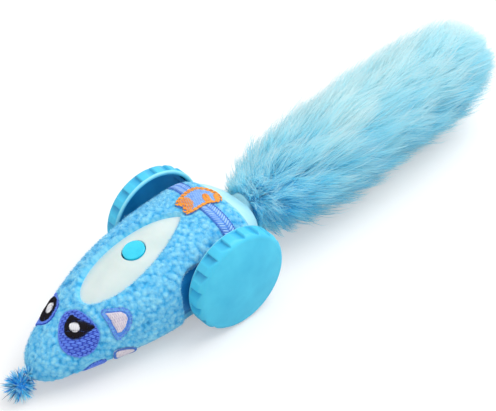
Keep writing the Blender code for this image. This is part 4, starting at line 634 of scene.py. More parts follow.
openings = {
    # each box's middle, half sides and corner, in mm
    "arch": ((-2.25, -11.355), (24.25, 24.355), 9),
    "pad": ((0, -8), (10.3, 11.3), 3),
    "archSide": 20.1 * mm,
    "windowAbove": -4 * mm,
    "padBelow": -11 * mm,
}


def openingDistance(points):
    # Distance from the nearest edge of the window, the wheel arches and the belly pad; negative within them.
    local = points - axleLine
    x, y, z = local[..., 0], local[..., 1], local[..., 2]
    distance = outlineDistance(local.reshape(-1, 3)[:, :2], windowRim(140)).reshape(x.shape)
    distance = np.where(z > openings["windowAbove"], distance, 9)
    arch = boxDistance(y, z, *openings["arch"])
    distance = np.minimum(distance, np.maximum(arch, openings["archSide"] - np.abs(x)))
    return np.minimum(distance, np.where(z < openings["padBelow"], boxDistance(x, y, *openings["pad"]), 9))


def fromRight(angle):
    # The angle, from a quarter turn below the left side to three quarters above it.
    return np.mod(angle + math.pi / 2, 2 * math.pi) - math.pi / 2


def patchDistance(y, angle):
    # Distance to the nearest patch along the surface, in metres; negative under a patch.
    shape = np.broadcast(y, angle).shape
    y, angle = (np.broadcast_to(a, shape).ravel() for a in (y, angle))
    best = np.full(len(y), 9.0)

    def take(near, u, v, outline):
        away = outlineDistance(np.stack([u[near], v[near]], -1), outline)
        best[near] = np.minimum(best[near], away)

    for key in ("eye", "ear", "cheek", "paw"):
        centre, reach = patchPlace(key)
        for side in (1, -1):
            turn = fromRight(angle) if side > 0 else math.pi - fromRight(angle)
            along, lower = patchShift(key, side)
            u, v = y - centre[0] - along, turn - centre[1]
            near = (np.abs(u) < 14 * mm) & (np.abs(v) < 1.8)
            take(near, u, (v - lower) * reach, patchOutline(key, side))
    v = (angle - math.pi / 2) * beltForm["reach"]
    u = y - beltForm["y"] + beltSlant(v)
    best = np.minimum(best, np.maximum(np.abs(u) - halfBelt, np.abs(v) - halfLength))
    u = y - fishForm["y"]
    take((np.abs(u) < 14 * mm) & (np.abs(v) < 16 * mm), u, v + fishForm["x"], fishOutline())
    return best.reshape(shape)


def gridNormals(grid):
    # The cross product of the grid's two directions; the rows wrap round.
    along = np.gradient(grid, axis=0)
    around = np.roll(grid, -1, 1) - np.roll(grid, 1, 1)
    normal = unit(np.cross(around, along))
    outwards = grid - grid.mean(1, keepdims=True)
    return normal * np.where((normal * outwards).sum(-1, keepdims=True).mean() < 0, -1, 1)


def makeFleece():
    # The body's surface, sunk at each opening, with the pile as round knobs in warped space.
    y, angle, grid = coverGrid()
    rows, columns = grid.shape[:2]
    normal = gridNormals(grid)
    opening = openingDistance(grid)
    patch = patchDistance(y[:, None], angle[None, :])
    warp = np.stack([softNoise(grid, fleece["warpSize"], seed) for seed in (3, 4, 5)], -1) - 0.5
    distance, own = knobs(grid + warp * fleece["warp"], fleece["knobSize"], 21)
    fine = softNoise(grid, fleece["fineSize"], 8)
    pile = np.clip(1 - 1.25 * distance**2, 0, 1) * (0.7 + 0.3 * own) * 0.82 + 0.18 * fine
    local = grid - axleLine
    outOfArch = np.hypot(local[..., 1], local[..., 2]) > fleece["wheelRadius"]
    wheelGap = smoothStep((fleece["wheelSide"] - np.abs(local[..., 0])) / (1.6 * mm)) + outOfArch
    height = fleece["pile"] * pile * smoothStep(opening / (1.2 * mm))
    height *= (0.12 + 0.88 * smoothStep(patch / (1.0 * mm))) * np.clip(wheelGap, 0.1, 1)
    rear = smoothStep((bodyForm["coverRear"] - y) / (2.5 * mm))[:, None]
    under = smoothStep(-np.sin(angle) / 0.45)[None, :]
    height *= (0.25 + 0.75 * rear) * (1 - fleece["underShare"] * under)
    height -= fleece["underSink"] * under
    crease = np.radians(np.interp(y / mm, *zip(*fleece["crease"])))
    flank = fromRight(angle)
    flank = np.where(flank > math.pi / 2, math.pi - flank, flank)
    away = (flank[None, :] - crease[:, None]) * fleece["flankRadius"]
    ends = smoothStep((y + 58 * mm) / (5 * mm)) * smoothStep((-22 * mm - y) / (4 * mm))
    height -= fleece["creaseDepth"] * np.exp(-((away / fleece["creaseWidth"]) ** 2)) * ends[:, None]
    sink = np.clip((0.8 * mm - opening) * fleece["sinkSlope"], 0, fleece["sink"])
    points = grid + normal * (height - sink)[..., None]
    faces = gridFaces(rows, columns)
    kept = faces[opening.ravel()[faces].mean(1) > -1.7 * mm]
    tip = np.append(points.reshape(-1, 3), [points[0].mean(0)], 0)
    around = np.arange(columns)
    fan = np.stack([np.full(columns, rows * columns), (around + 1) % columns, around], -1)
    values = {"pile": np.append(pile, 0.5), "tuft": np.append(own, 0.5)}
    cover = addMesh("fleeceCover", tip, [kept[:, ::-1], fan[:, ::-1]], values)
    return cover, points, normal, opening, patch, pile


def makeFuzz(points, normal, opening, patch, pile):
    # Short curled fibres: each leaves the pile along the normal, leans over and curls sideways.
    rows, columns = points.shape[:2]
    rng = np.random.default_rng(11)
    local = points - axleLine
    inArch = np.hypot(local[..., 1], local[..., 2]) < fleece["wheelRadius"]
    allowed = (opening > 0.5 * mm) & (patch > 0.35 * mm) & ~((np.abs(local[..., 0]) > 25.6 * mm) & inArch)
    area = np.linalg.norm(np.gradient(points, axis=0), axis=-1)
    area = area * np.linalg.norm(np.roll(points, -1, 1) - points, axis=-1)
    under = np.clip(-normal[..., 2] / 0.5, 0, 1)
    weight = (area * allowed * (1 - 0.75 * under))[:-9].ravel()
    pick = rng.choice(len(weight), fleece["fuzz"], p=weight / weight.sum())
    r, c = np.divmod(pick, columns)
    count = len(r)
    base, up = points[r, c], normal[r, c]
    along = (rng.random((count, 1)) - 0.5) * (points[(r + 1) % rows, c] - base)
    base = base + along + (rng.random((count, 1)) - 0.5) * (points[r, (c + 1) % columns] - base)
    lean = unit(np.cross(up, rng.normal(size=up.shape)))
    curl = np.cross(up, lean)
    t = np.linspace(0, 1, 5)[None, :, None]
    length = fleece["fuzzLength"] * (0.6 + 0.8 * rng.random((count, 1, 1)))
    length = length * (1 - 0.45 * under[r, c])[:, None, None]
    bend = rng.normal(0, 1.1, (count, 1, 1))
    rise = 0.30 + 0.35 * rng.random((count, 1, 1))
    line = (
        base[:, None]
        - up[:, None] * 0.15 * mm
        + up[:, None] * length * rise * np.sin(t * 2.4)
        + lean[:, None] * length * 0.55 * t
        + curl[:, None] * length * 0.30 * bend * t**2
    )
    tangent = unit(np.gradient(line, axis=1))
    sides = unit(np.cross(tangent, up[:, None] + 0.6 * rng.normal(size=(count, 1, 3))))
    widths = fleece["fuzzWidth"] * np.array(fleece["fuzzTaper"])[None, :] * np.ones((count, 1))
    # painted shade: each fibre takes the pile's shade where it grows, plus a random tone, and gets paler
    # towards its tip
    shades = pile[r, c][:, None] * 0.8 + 0.2 * rng.random((count, 1)) + 0.15 * t[..., 0]
    half = count // 2
    names = (("fleeceFuzzFirst", slice(0, half)), ("fleeceFuzzSecond", slice(half, None)))
    return [ribbons(name, line[part], sides[part], widths[part], shades[part]) for name, part in names]


def fleeceMaterial():
    # Painted shade makes the pile deep blue between the knobs, and painted light makes it pale at their
    # crowns, with slow patches of brushed pile.
    gloss = {"Roughness": 0.95, "Sheen_Weight": 0.35, "Sheen_Roughness": 0.45, "Specular_IOR_Level": 0.15}
    material, tree, shader = newMaterial("curlyFleece", **gloss)
    # the pile attribute, the knobs' height, drives this painted shade and light
    depth = maths(tree, "MULTIPLY_ADD", objectNoise(tree, 170, 4), 0.55, attribute(tree, "pile"))
    level = mapped(tree, depth, From_Min=0.15, From_Max=1.25)
    base = ramp(tree, level, [(0.0, (20, 136, 200)), (0.35, (80, 196, 246)), (1.0, (168, 238, 255))])
    tuft = ramp(tree, attribute(tree, "tuft"), [(0.0, (205, 232, 245)), (1.0, (255, 255, 255))])
    setBase(tree, shader, mixColours(tree, "MULTIPLY", 0.35, base, tuft))
    addBump(tree, shader, objectNoise(tree, 2600, 5, 0.7), 0.5, 0.0003)
    return material


def shadedMaterial(name, stops, **settings):
    # The colour follows each strand's own shade.
    material, tree, shader = newMaterial(name, **settings)
    setBase(tree, shader, ramp(tree, attribute(tree, "shade"), stops))
    return material, tree, shader


cover, *coverForm = makeFleece()
fuzz = makeFuzz(*coverForm)
print("fleece made:", len(cover.data.polygons), "faces and", fleece["fuzz"], "fibres")
fuzzStops = [(0.1, (34, 154, 216)), (0.5, (102, 210, 250)), (1.0, (188, 241, 255))]
fibre = shadedMaterial("fleeceFibre", fuzzStops, Roughness=0.8, Sheen_Weight=0.3, Specular_IOR_Level=0.2)[0]
finish(cover, fleeceMaterial(), "body", "fleece_cover")
for piece in fuzz:
    finish(piece, fibre, "body")

# Light window and button

buttonForm = {
    "radius": 5.2 * mm,
    "rise": 0.45 * mm,
    "skirt": 3.1 * mm,
    "flange": 6.4 * mm,
    "flangeThickness": 0.8 * mm,
    "stem": 1.9 * mm,
    "stemLength": 1.2 * mm,
    "edge": 0.4 * mm,
    "crownPowers": (3.2, 0.55),
    "axis": (0, -0.212196, 0.977227),
}


def makeWindow():
    # Straight lines run from the button's hole to the rim along the dome, which then turns down.
    rim = windowRim(192)
    centre = np.array([0.0, windowForm["buttonY"]])
    hole = centre + unit(rim - centre) * windowForm["holeRadius"]
    wall, seat = windowForm["wall"], windowForm["seatDrop"]
    inner = centre + (rim - centre) * (1 - wall / np.linalg.norm(rim - centre, axis=1, keepdims=True))

    def ring(plan, drop, surface=windowTop):
        return np.column_stack([plan, surface(plan[:, 0], plan[:, 1]) - drop])

    # share of the way to the rim, and the drop there in mm
    steps = [(0.0, 1.8), (0.0, 0.35), (0.006, 0.1), (0.02, 0.0)]
    steps += [(share, 0.0) for share in np.linspace(0.05, 0.97, 26)]
    steps += [(0.985, 0.03), (0.995, 0.12), (1.0, 0.3)]
    rings = [ring(hole + (rim - hole) * share, drop * mm) for share, drop in steps]
    rings += [ring(rim, seat, roofHeight), ring(inner, seat, roofHeight), ring(inner, wall), ring(hole, wall)]
    return addMesh("windowDome", *ringStack(np.array(rings) + axleLine, False))


def makeButton():
    # A soft superellipse crown over a straight skirt, turned about the button's own slanted axis.
    r, stem, flange = buttonForm["radius"], buttonForm["stem"], buttonForm["flange"]
    across = np.sin(np.linspace(0.02, 1, 22) * np.pi / 2)
    inner, outer = buttonForm["crownPowers"]
    profile = [(buttonForm["rise"] * (1 - s**inner) ** outer, r * s) for s in across]
    foot = -buttonForm["skirt"]
    under = foot - buttonForm["flangeThickness"]
    profile += [(-buttonForm["edge"], r), (foot, r), (foot, flange), (under, flange), (under, stem)]
    profile += [(foot - buttonForm["stemLength"], stem)]
    y = windowForm["buttonY"]
    origin = np.array([0.0, y, float(windowTop(0.0, y))]) + axleLine
    return addMesh("buttonCrown", *ringStack(turned(profile, 64, origin, buttonForm["axis"])))


milky = {"Subsurface_Weight": 0.12, "Subsurface_Scale": 0.003, "Coat_Weight": 0.25, "Coat_Roughness": 0.12}
milkyWindow = moulded("milkyWindow", (208, 226, 224), (228, 238, 236), 0.3, 60, 0.05, **milky)
glossy = {"Coat_Weight": 0.3, "Coat_Roughness": 0.15}
brightButton = moulded("brightButton", (26, 206, 240), (44, 222, 250), 0.25, 200, 0.05, **glossy)
finish(makeWindow(), milkyWindow, "body", "light_window")
finish(makeButton(), brightButton, "button", "button_cap")
print("window and button made")

# Rear cap

capForm = {
    "sides": 160,
    "gap": 0.3 * mm,
    "step": 0.6 * mm,
    "blend": 1.6 * mm,
    "tubeEnd": 35.5 * mm,
    "tubeRadius": 6.5 * mm,
    "bore": 4.3 * mm,
    "boreDepth": 6.4 * mm,
    "tailZ": 5 * mm,
    "spigot": 4.8 * mm,
    "spigotLength": 4 * mm,
}


def makeCap():
    # The body's own sections, a step lower than the fleece, run on to the rump and blend into a round tube.
    count, step, spigot, blend = (capForm[key] for key in ("sides", "step", "spigot", "blend"))
    radius, bore, tubeEnd = (capForm[key] for key in ("tubeRadius", "bore", "tubeEnd"))
    turn = 2 * np.pi * np.arange(count) / count
    front, rump = bodyForm["coverRear"] + capForm["gap"], bodyForm["rumpReach"]

    def section(y, lift):
        return bodyPoint(np.full(count, y), turn, lift)

    def tube(y, radius):
        z = capForm["tailZ"] + radius * np.sin(turn)
        return np.stack([radius * np.cos(turn), np.full(count, y), z], -1) + axleLine

    rings = [section(bodyForm["coverRear"] - capForm["spigotLength"], -spigot), section(front, -spigot)]
    rings += [section(front + on * mm, -step - drop * mm) for on, drop in ((0, 0.35), (0.12, 0.1), (0.4, 0))]
    rings += [section(y, -step) for y in np.linspace(front + 0.9 * mm, rump - blend, 24)]
    last, end = section(rump - blend, -step), tube(rump, radius)
    for share in (0.25, 0.5, 0.75):
        ease = math.sin(share * math.pi / 2)
        ring = last * (1 - ease) + end * ease
        ring[:, 1] = axleY + rump - blend * (1 - share)
        rings.append(ring)
    rings += [tube(rump, radius + 0.4 * mm), tube(rump + 0.4 * mm, radius), tube(tubeEnd - 0.3 * mm, radius)]
    rings += [tube(tubeEnd, radius - 0.3 * mm), tube(tubeEnd, bore)]
    rings.append(tube(tubeEnd - capForm["boreDepth"], bore))
    return addMesh("rumpCap", *ringStack(np.array(rings), False))


dull = {"Coat_Weight": 0.15, "Coat_Roughness": 0.3}
paleShell = moulded("paleShell", (172, 230, 245), (188, 238, 249), 0.36, 90, 0.06, **dull)
finish(makeCap(), paleShell, "body", "rear_cap")
print("rear cap made")

# Wheels

wheel = {
    "radius": 25 * mm,
    "inner": 27.4 * mm,
    "outer": 35.8 * mm,
    "crown": 2.0 * mm,
    "crownPower": 2.2,
    "faceShare": 0.87,
    "wall": 2.1 * mm,
    "floor": 34.4 * mm,
    "ribs": 18,
    "perRib": 24,
    "ribDepth": 1.3 * mm,
    "ribShare": 0.58,
    "lip": 1.0 * mm,
    # back from the face's edge in mm, and share of the radius
    "shoulder": [(0, 0.87), (0.16, 0.91), (0.63, 0.95), (1.5, 0.982), (2.52, 1), (3.4, 1)],
    # out from the inner edge in mm, and share of the radius
    "edge": [(0.6, 0.996), (0.2, 0.985), (0, 0.97)],
}


def makeTyre(side, label):
    # A dome, a round shoulder, the tread and the hollow behind; each pocket is a ramp up to a sharp step.
    r, inner, outer, floor = (wheel[key] for key in ("radius", "inner", "outer", "floor"))
    bore, lip = r - wheel["wall"], inner + wheel["lip"]
    across = np.linspace(0.02, 1, 16)
    dome = outer + wheel["crown"] - wheel["crown"] * across ** wheel["crownPower"]
    face = np.stack([dome, wheel["faceShare"] * r * across], -1)
    shoulder = np.array([(outer - back * mm, share * r) for back, share in wheel["shoulder"]])
    shoulder = softCurve(shoulder, 5)[1:]
    along = [*np.linspace(shoulder[-1, 0], lip + 0.4 * mm, 6)[1:], lip + 0.15 * mm, lip, lip - 0.2 * mm]
    tread = [(place, r) for place in along]
    edge = [(inner + out * mm, share * r) for out, share in wheel["edge"]]
    edge += [(inner, bore + 0.3 * mm), (inner + 0.3 * mm, bore)]
    hollow = [(inner + 3 * mm, bore), (floor - 0.8 * mm, bore), (floor - 0.2 * mm, bore - 0.3 * mm)]
    hollow += [(floor, bore - 1 * mm), (floor, 6 * mm), (floor, 0.6 * mm)]
    profile = np.vstack([face, shoulder, tread, edge, hollow])
    outside = smoothStep((profile[:, 0] - lip) / (0.15 * mm))
    sides = wheel["ribs"] * wheel["perRib"]
    share = (np.arange(sides) / wheel["perRib"]) % 1
    slope = np.clip(1 - share / wheel["ribShare"], 0, 1) ** 0.8 * np.clip(share * wheel["perRib"], 0, 1)
    dents = np.maximum(profile[:, 1:2] - (r - wheel["ribDepth"] * slope[None, :]), 0) * outside[:, None]
    # this marks the rim's inner corner for a painted highlight
    rim = np.repeat((profile[:, 0] < inner + 0.8 * mm) & (profile[:, 1] > 0.96 * r), sides)
    # the dent depth also masks painted shade in the pockets, and rim masks a painted highlight
    values = {"dent": np.append(dents.ravel() / wheel["ribDepth"], [0, 0]), "rim": np.append(rim, [0, 0])}
    profile[:, 0] *= side
    rings = turned(profile, sides, axleLine, (1, 0, 0), dents)
    return addMesh("wheelTyre" + label, *ringStack(rings), values)


rubber = {"Specular_IOR_Level": 0.45, "Subsurface_Weight": 0.05, "Subsurface_Scale": 0.002}
tyreFinish = moulded("softTyre", (58, 194, 236), (82, 216, 250), 0.42, 55, 0.10, 3200, **rubber)
# painted shade: the tread's pockets are darkened in step with their depth
deepen(tyreFinish, "dent", (150, 205, 228))
# painted highlight: a paler line along the rim's inner corner
deepen(tyreFinish, "rim", (150, 234, 252), "MIX")
for side, label, body in ((1, "Left", "wheel_left"), (-1, "Right", "wheel_right")):
    finish(makeTyre(side, label), tyreFinish, body, "tyre_" + label.lower())
print("wheels made")

# Stitches: their sizes, and all that the functions here are given, are in mm and degrees

thread = {
    "lift": 0.62,
    "height": 0.34,
    "width": 0.42,
    "satinSpacing": 0.5,
    "satinSlant": 0.35,
    "taper": [0.5, 0.92, 1, 1, 0.92, 0.5],
    "bulge": [0, 0.75, 1, 1, 0.75, 0],
    "section": [(-0.5, 0.0), (-0.3, 0.8), (0.3, 0.8), (0.5, 0.0), (0.0, -0.5)],
}


def hatch(outline, degrees, spacing, stitch, gap=0.12, pair=0.0):
    # Parallel lines cross the outline, each cut into stitches; every other line starts half a stitch on.
    # With a pair distance, each line is sewn twice, side by side.
    spacing, stitch, gap, pair = (length * mm for length in (spacing, stitch, gap, pair))
    c, s = math.cos(math.radians(degrees)), math.sin(math.radians(degrees))
    along, across = outline @ [c, s], outline @ [-s, c]
    lines = np.arange(across.min() + spacing * 0.5, across.max() - spacing * 0.2, spacing)
    nextAlong, nextAcross = np.roll(along, -1), np.roll(across, -1)
    height = lines[:, None]
    hit = (np.minimum(across, nextAcross) <= height) & (np.maximum(across, nextAcross) > height)
    share = (height - across) / np.where(nextAcross == across, 1, nextAcross - across)
    crossing = along + share * (nextAlong - along)
    low = np.where(hit, crossing, 9).min(1)
    high = np.where(hit, crossing, -9).max(1)
    places = np.arange(-60, 60) * stitch + ((np.arange(len(lines)) % 2) * stitch / 2)[:, None]
    begin = np.maximum(low[:, None], places)
    end = np.minimum(high[:, None], places + stitch - gap)
    keep = end - begin > 0.25 * min(stitch, 1.6 * mm)
    row = np.broadcast_to(height, keep.shape)[keep]
    begin, end = begin[keep], end[keep]
    if pair:
        row = np.concatenate([row - pair / 2, row + pair / 2])
        begin, end = np.tile(begin, 2), np.tile(end, 2)
    return [np.stack([p * c - row * s, p * s + row * c], -1) for p in (begin, end)]


def inset(outline, share):
    middle = outline.mean(0)
    return middle + (outline - middle) * share


def resample(outline, spacing, closed=True):
    # Points at equal steps along the outline, with the outline's direction there.
    path = np.vstack([outline, outline[:1]]) if closed else outline
    reach = np.concatenate([[0], np.cumsum(np.linalg.norm(np.diff(path, axis=0), axis=1))])
    count = max(int(reach[-1] / spacing), 3)
    at = np.arange(count) * reach[-1] / count

    def pathAt(place):
        return np.stack([np.interp(place, reach, path[:, k]) for k in (0, 1)], -1)

    points = pathAt(at)
    return points, unit(pathAt((at + 0.2 * mm) % reach[-1]) - points)


def satinEdge(outline, width):
    # Short stitches lie across the outline, slanting a little.
    points, along = resample(outline, thread["satinSpacing"] * mm)
    outwards = np.stack([along[:, 1], -along[:, 0]], -1)
    reach = (outwards + along * thread["satinSlant"]) * width * mm / 2
    return points - reach, points + reach


def runningStitch(outline, stitch, gap, closed=True):
    points, along = resample(outline, stitch * mm, closed)
    return points + along * gap * mm / 2, points + along * (stitch - gap / 2) * mm


def sew(name, ends, where, seed, side, width, lift=0.0):
    # Each stitch is a round-backed thread: a five-sided section carried from end to end, thin at both ends.
    start, end = ends
    t = np.linspace(0, 1, 6)
    flat = start[:, None] * (1 - t)[None, :, None] + end[:, None] * t[None, :, None]
    rng = np.random.default_rng(seed)
    bulge = (np.array(thread["bulge"]) * thread["height"] + 0.06) * mm
    base = (thread["lift"] + lift) * mm
    ground, above = (where(flat[..., 0], flat[..., 1], height) for height in (base, base + 0.5 * mm))
    up = unit(above - ground)
    across = unit(np.cross(np.gradient(ground, axis=1), up))
    uneven = 0.92 + 0.16 * rng.random((len(start), 1))
    wide = thread["width"] * mm * width * np.array(thread["taper"]) * uneven
    section = np.array(thread["section"])
    points = ground[:, :, None] + across[:, :, None] * (wide[..., None] * section[:, 0])[..., None]
    points = points + up[:, :, None] * (bulge[None, :, None] * section[:, 1] + 0.02 * mm)[..., None]
    points[..., 0] *= side
    count, steps, sides = points.shape[:3]
    caps = np.array([np.arange(sides)[::-1], (steps - 1) * sides + np.arange(sides)])
    one = outward(points[0].reshape(-1, 3), [gridFaces(steps, sides), caps])
    shift = (np.arange(count) * steps * sides)[:, None, None]
    groups = [(group[None] + shift).reshape(-1, group.shape[1]) for group in one]
    shades = np.repeat(rng.random(count), steps * sides)
    run = np.tile(np.repeat(t, sides), count)
    return addMesh(name, points.reshape(-1, 3), groups, {"shade": shades, "run": run})


def makePad(name, outline, where, side, low, high):
    # Rings from the middle out to the outline, down the edge and back underneath.
    shares = [0.02, 0.25, 0.5, 0.75, 0.93, 1.0, 1.0, 0.6, 0.02]
    lifts = [high, high, high, high, high - 0.05, high - 0.3, low, low, low]
    rings = np.array([where(*inset(outline, share).T, lift * mm) for share, lift in zip(shares, lifts)])
    rings[..., 0] *= side
    return addMesh(name, *ringStack(rings))


def threadMaterial(name, dark, light, gloss=0.42, shine=0.5, sheen=0.15):
    # Dyed thread: each stitch has its own tone, with painted shade at both ends where it dives into the
    # cloth, and a twist along it.
    material, tree, shader = newMaterial(name, Roughness=gloss, Sheen_Weight=sheen, Specular_IOR_Level=shine)
    spread = maths(tree, "ABSOLUTE", maths(tree, "SUBTRACT", attribute(tree, "run"), 0.5))
    paintedDiveShade = mapped(tree, spread, From_Min=0.36, From_Max=0.5, To_Min=1.0, To_Max=0.45)
    tone = mapped(tree, attribute(tree, "shade"), To_Min=0.55, To_Max=1.0)
    setBase(tree, shader, ramp(tree, maths(tree, "MULTIPLY", paintedDiveShade, tone), [(0.1, dark), (0.9, light)]))
    addBump(tree, shader, objectNoise(tree, 5200, 2), 0.3, 0.0001)
    return material


def clothMaterial(name, dark, light):
    # The backing cloth under the stitches, with a fine weave from noise.
    material, tree, shader = newMaterial(name, Roughness=0.85, Sheen_Weight=0.2)
    setBase(tree, shader, ramp(tree, objectNoise(tree, 1800, 3), [(0.3, dark), (0.7, light)]))
    addBump(tree, shader, objectNoise(tree, 3600, 2), 0.4, 0.0002)
    return material


violetThread = threadMaterial("violetThread", (34, 58, 190), (104, 150, 255))
violetDark = threadMaterial("deepVioletThread", (30, 82, 176), (70, 134, 224))
borderThread = threadMaterial("borderThread", (50, 128, 214), (120, 194, 252))
paleViolet = threadMaterial("paleVioletThread", (88, 146, 236), (160, 206, 255))
blackThread = threadMaterial("blackThread", (3, 2, 6), (20, 14, 24), 0.6, 0.2, 0)
whiteThread = threadMaterial("whiteThread", (190, 196, 220), (250, 250, 252))
earThread = threadMaterial("palePinkThread", (196, 186, 214), (250, 242, 248))
orangeThread = threadMaterial("orangeThread", (222, 92, 2), (255, 170, 44))
violetCloth = clothMaterial("violetCloth", (34, 56, 178), (52, 84, 212))
paleCloth = clothMaterial("paleCloth", (210, 204, 226), (236, 230, 242))
blueCloth = clothMaterial("paleVioletCloth", (70, 132, 226), (98, 162, 244))


def onPatch(key, side):
    centre, reach = patchPlace(key)
    along, turn = patchShift(key, side)
    return lambda u, v, lift: bodyPoint(centre[0] + along + u, centre[1] + turn + v / reach, lift)


for side, label in ((1, "Left"), (-1, "Right")):
    patches = ("eye", "ear", "cheek", "paw")
    on = {key: onPatch(key, side) for key in patches}
    eye, ear, cheek, paw = (patchOutline(key, side) for key in patches)
    pupil, glint = (patchOutline(key, side, "eye") for key in ("pupil", "glint"))
    fill = patchOutline("earFill", 1, "ear")
    # name, patch, outline, cloth, low and high edge, and the solid that it stands for
    pads = [
        ("eyePad", "eye", eye, violetCloth, -0.5, 0.62, "eye_patch_" + label.lower()),
        ("earPad", "ear", ear, blueCloth, -0.5, 0.62, "ear_patch_" + label.lower()),
        ("earFill", "ear", fill, paleCloth, 0.2, 0.95, None),
        ("cheekPad", "cheek", cheek, violetCloth, -0.5, 0.62, None),
        ("pawPad", "paw", paw, paleCloth, -0.5, 0.62, None),
    ]
    for name, key, outline, cloth, low, high, replaced in pads:
        slot = "ear" if cloth == paleCloth else "thread"
        finish(makePad(name + label, outline, on[key], side, low, high), cloth, "body", replaced)
    # name, patch, stitches, thread, seed, width and lift
    seams = [
        ("eyeStitches", "eye", hatch(eye, -49, 1.22, 2.9, 0.25, 0.5), violetThread, 3, 1.2, 0.0),
        ("eyeEdge", "eye", satinEdge(inset(eye, 0.98), 0.6), violetThread, 4, 1.0, 0.02),
        ("pupilStitches", "eye", hatch(pupil, 41, 0.36, 9), blackThread, 5, 1.0, 0.30),
        ("glintStitches", "eye", hatch(glint, 41, 0.36, 9), whiteThread, 6, 1.0, 0.58),
        ("earEdge", "ear", satinEdge(inset(ear, 0.9), 1.5), borderThread, 8, 1.1, 0.0),
        ("earOuterLine", "ear", runningStitch(inset(ear, 0.985), 1.5, 0.3), violetThread, 21, 1.1, 0.12),
        ("earInnerLine", "ear", runningStitch(inset(ear, 0.81), 1.5, 0.3), violetThread, 22, 1.1, 0.12),
        ("earStitches", "ear", hatch(inset(fill, 0.96), 72, 0.45, 2.2, 0.2), earThread, 7, 0.95, 0.3),
        ("cheekStitches", "cheek", hatch(cheek, 30, 0.5, 2.0), violetThread, 9, 1.1, 0.0),
        ("pawStitches", "paw", hatch(paw * 0.86, 60, 0.42, 2.4), earThread, 10, 1.05, 0.0),
        ("pawEdge", "paw", satinEdge(paw * 0.97, 1.1), violetDark, 11, 1.0, 0.12),
    ]
    for name, key, ends, colour, seed, width, lift in seams:
        slot = "ear" if colour == earThread else "thread"
        finish(sew(name + label, ends, on[key], seed, side, width, lift), colour, "body")
print("eyes, ears and side patches sewn")


def pairs(u, v):
    return np.stack(np.broadcast_arrays(u, v), -1).astype(float)


def makeBelt():
    # Across the belt on top and back underneath, at each place along it.
    across = np.linspace(-halfBelt, halfBelt, 9)
    rings = []
    for at in np.linspace(-halfLength, halfLength, 80):
        place = np.full(9, at)
        under = beltPoint(across[::-1], place, -beltForm["under"])
        rings.append(np.vstack([beltPoint(across, place, beltForm["top"]), under]))
    return addMesh("beltBacking", *ringStack(np.array(rings)))


finish(makeBelt(), blueCloth, "body", "belt_ribbon")
bars = np.arange(-halfLength + 0.7 * mm, halfLength - 0.5 * mm, beltForm["barStep"])
inner, middle, rise = halfBelt - beltForm["border"], beltForm["seam"], beltForm["barRise"]
starts = np.vstack([pairs(-inner, bars + rise), pairs(middle, bars - rise)])
ends = np.vstack([pairs(-middle, bars - rise), pairs(inner, bars + rise)])
finish(sew("beltStitches", (starts, ends), beltPoint, 12, 1, 2.3), paleViolet, "body")
side, end = halfBelt - beltForm["border"] / 2, halfLength - beltForm["endMargin"]
down, over = np.linspace(-halfLength, halfLength, 200), np.linspace(-halfBelt, halfBelt, 60)
borders = [
    ("beltFrontEdge", pairs(-side, down), 13, 1.1),
    ("beltRearEdge", pairs(side, down), 13, 1.1),
    ("beltEndLeft", pairs(over, -end), 14, 1.7),
    ("beltEndRight", pairs(over, end), 14, 1.7),
]
for name, line, seed, width in borders:
    stitches = runningStitch(line, 1.1, 0.2, False)
    finish(sew(name, stitches, beltPoint, seed, 1, width, 0.05), violetDark, "body")

fishLine, fishAxis = fishOutline(), fishForm["turn"] - 90
finish(makePad("fishPad", fishLine, fishPoint, 1, 0.3, 1.15), blueCloth, "body", "fish_patch")
# name, stitches, thread, seed, width and lift
seams = [
    ("fishFilling", hatch(inset(fishLine, 0.84), fishAxis, 0.5, 2.2), paleViolet, 15, 1.1, 0.5),
    ("fishTail", hatch(fishOutline("tail"), fishAxis, 0.5, 2.0, 0.25), orangeThread, 17, 1.1, 0.72),
    ("fishGill", hatch(fishOutline("gill"), fishAxis, 0.45, 6), orangeThread, 18, 1.1, 0.72),
    ("fishHead", hatch(fishOutline("head"), fishAxis, 0.45, 6), orangeThread, 18, 1.1, 0.72),
    ("fishEdge", runningStitch(inset(fishLine, 0.97), 2.2, 0.1), orangeThread, 16, 2.0, 0.66),
    ("fishSecondEdge", runningStitch(inset(fishLine, 0.88), 2.2, 0.1), orangeThread, 19, 2.0, 0.66),
    ("fishThirdEdge", runningStitch(inset(fishLine, 0.79), 2.2, 0.1), orangeThread, 20, 2.0, 0.66),
]
for name, ends, colour, seed, width, lift in seams:
    finish(sew(name, ends, fishPoint, seed, 1, width, lift), colour, "body")
print("belt and fish sewn")

# Tinsel nose

tinsel = {
    "centre": (0.0, -99.3 * mm, -18.6 * mm),
    "core": 3.2 * mm,
    "reach": 8.2 * mm,
    "strips": 700,
    "width": 0.46 * mm,
    "neck": (0.0, 4.6 * mm, 3.4 * mm),
    "neckShare": 0.3,
    "strayShare": 0.05,
    "bend": 0.28,
    "floor": 0.3 * mm,
    "taper": [0.9, 1, 1, 0.95, 0.8, 0.25],
}
goldenTurn = math.pi * (3 - math.sqrt(5))


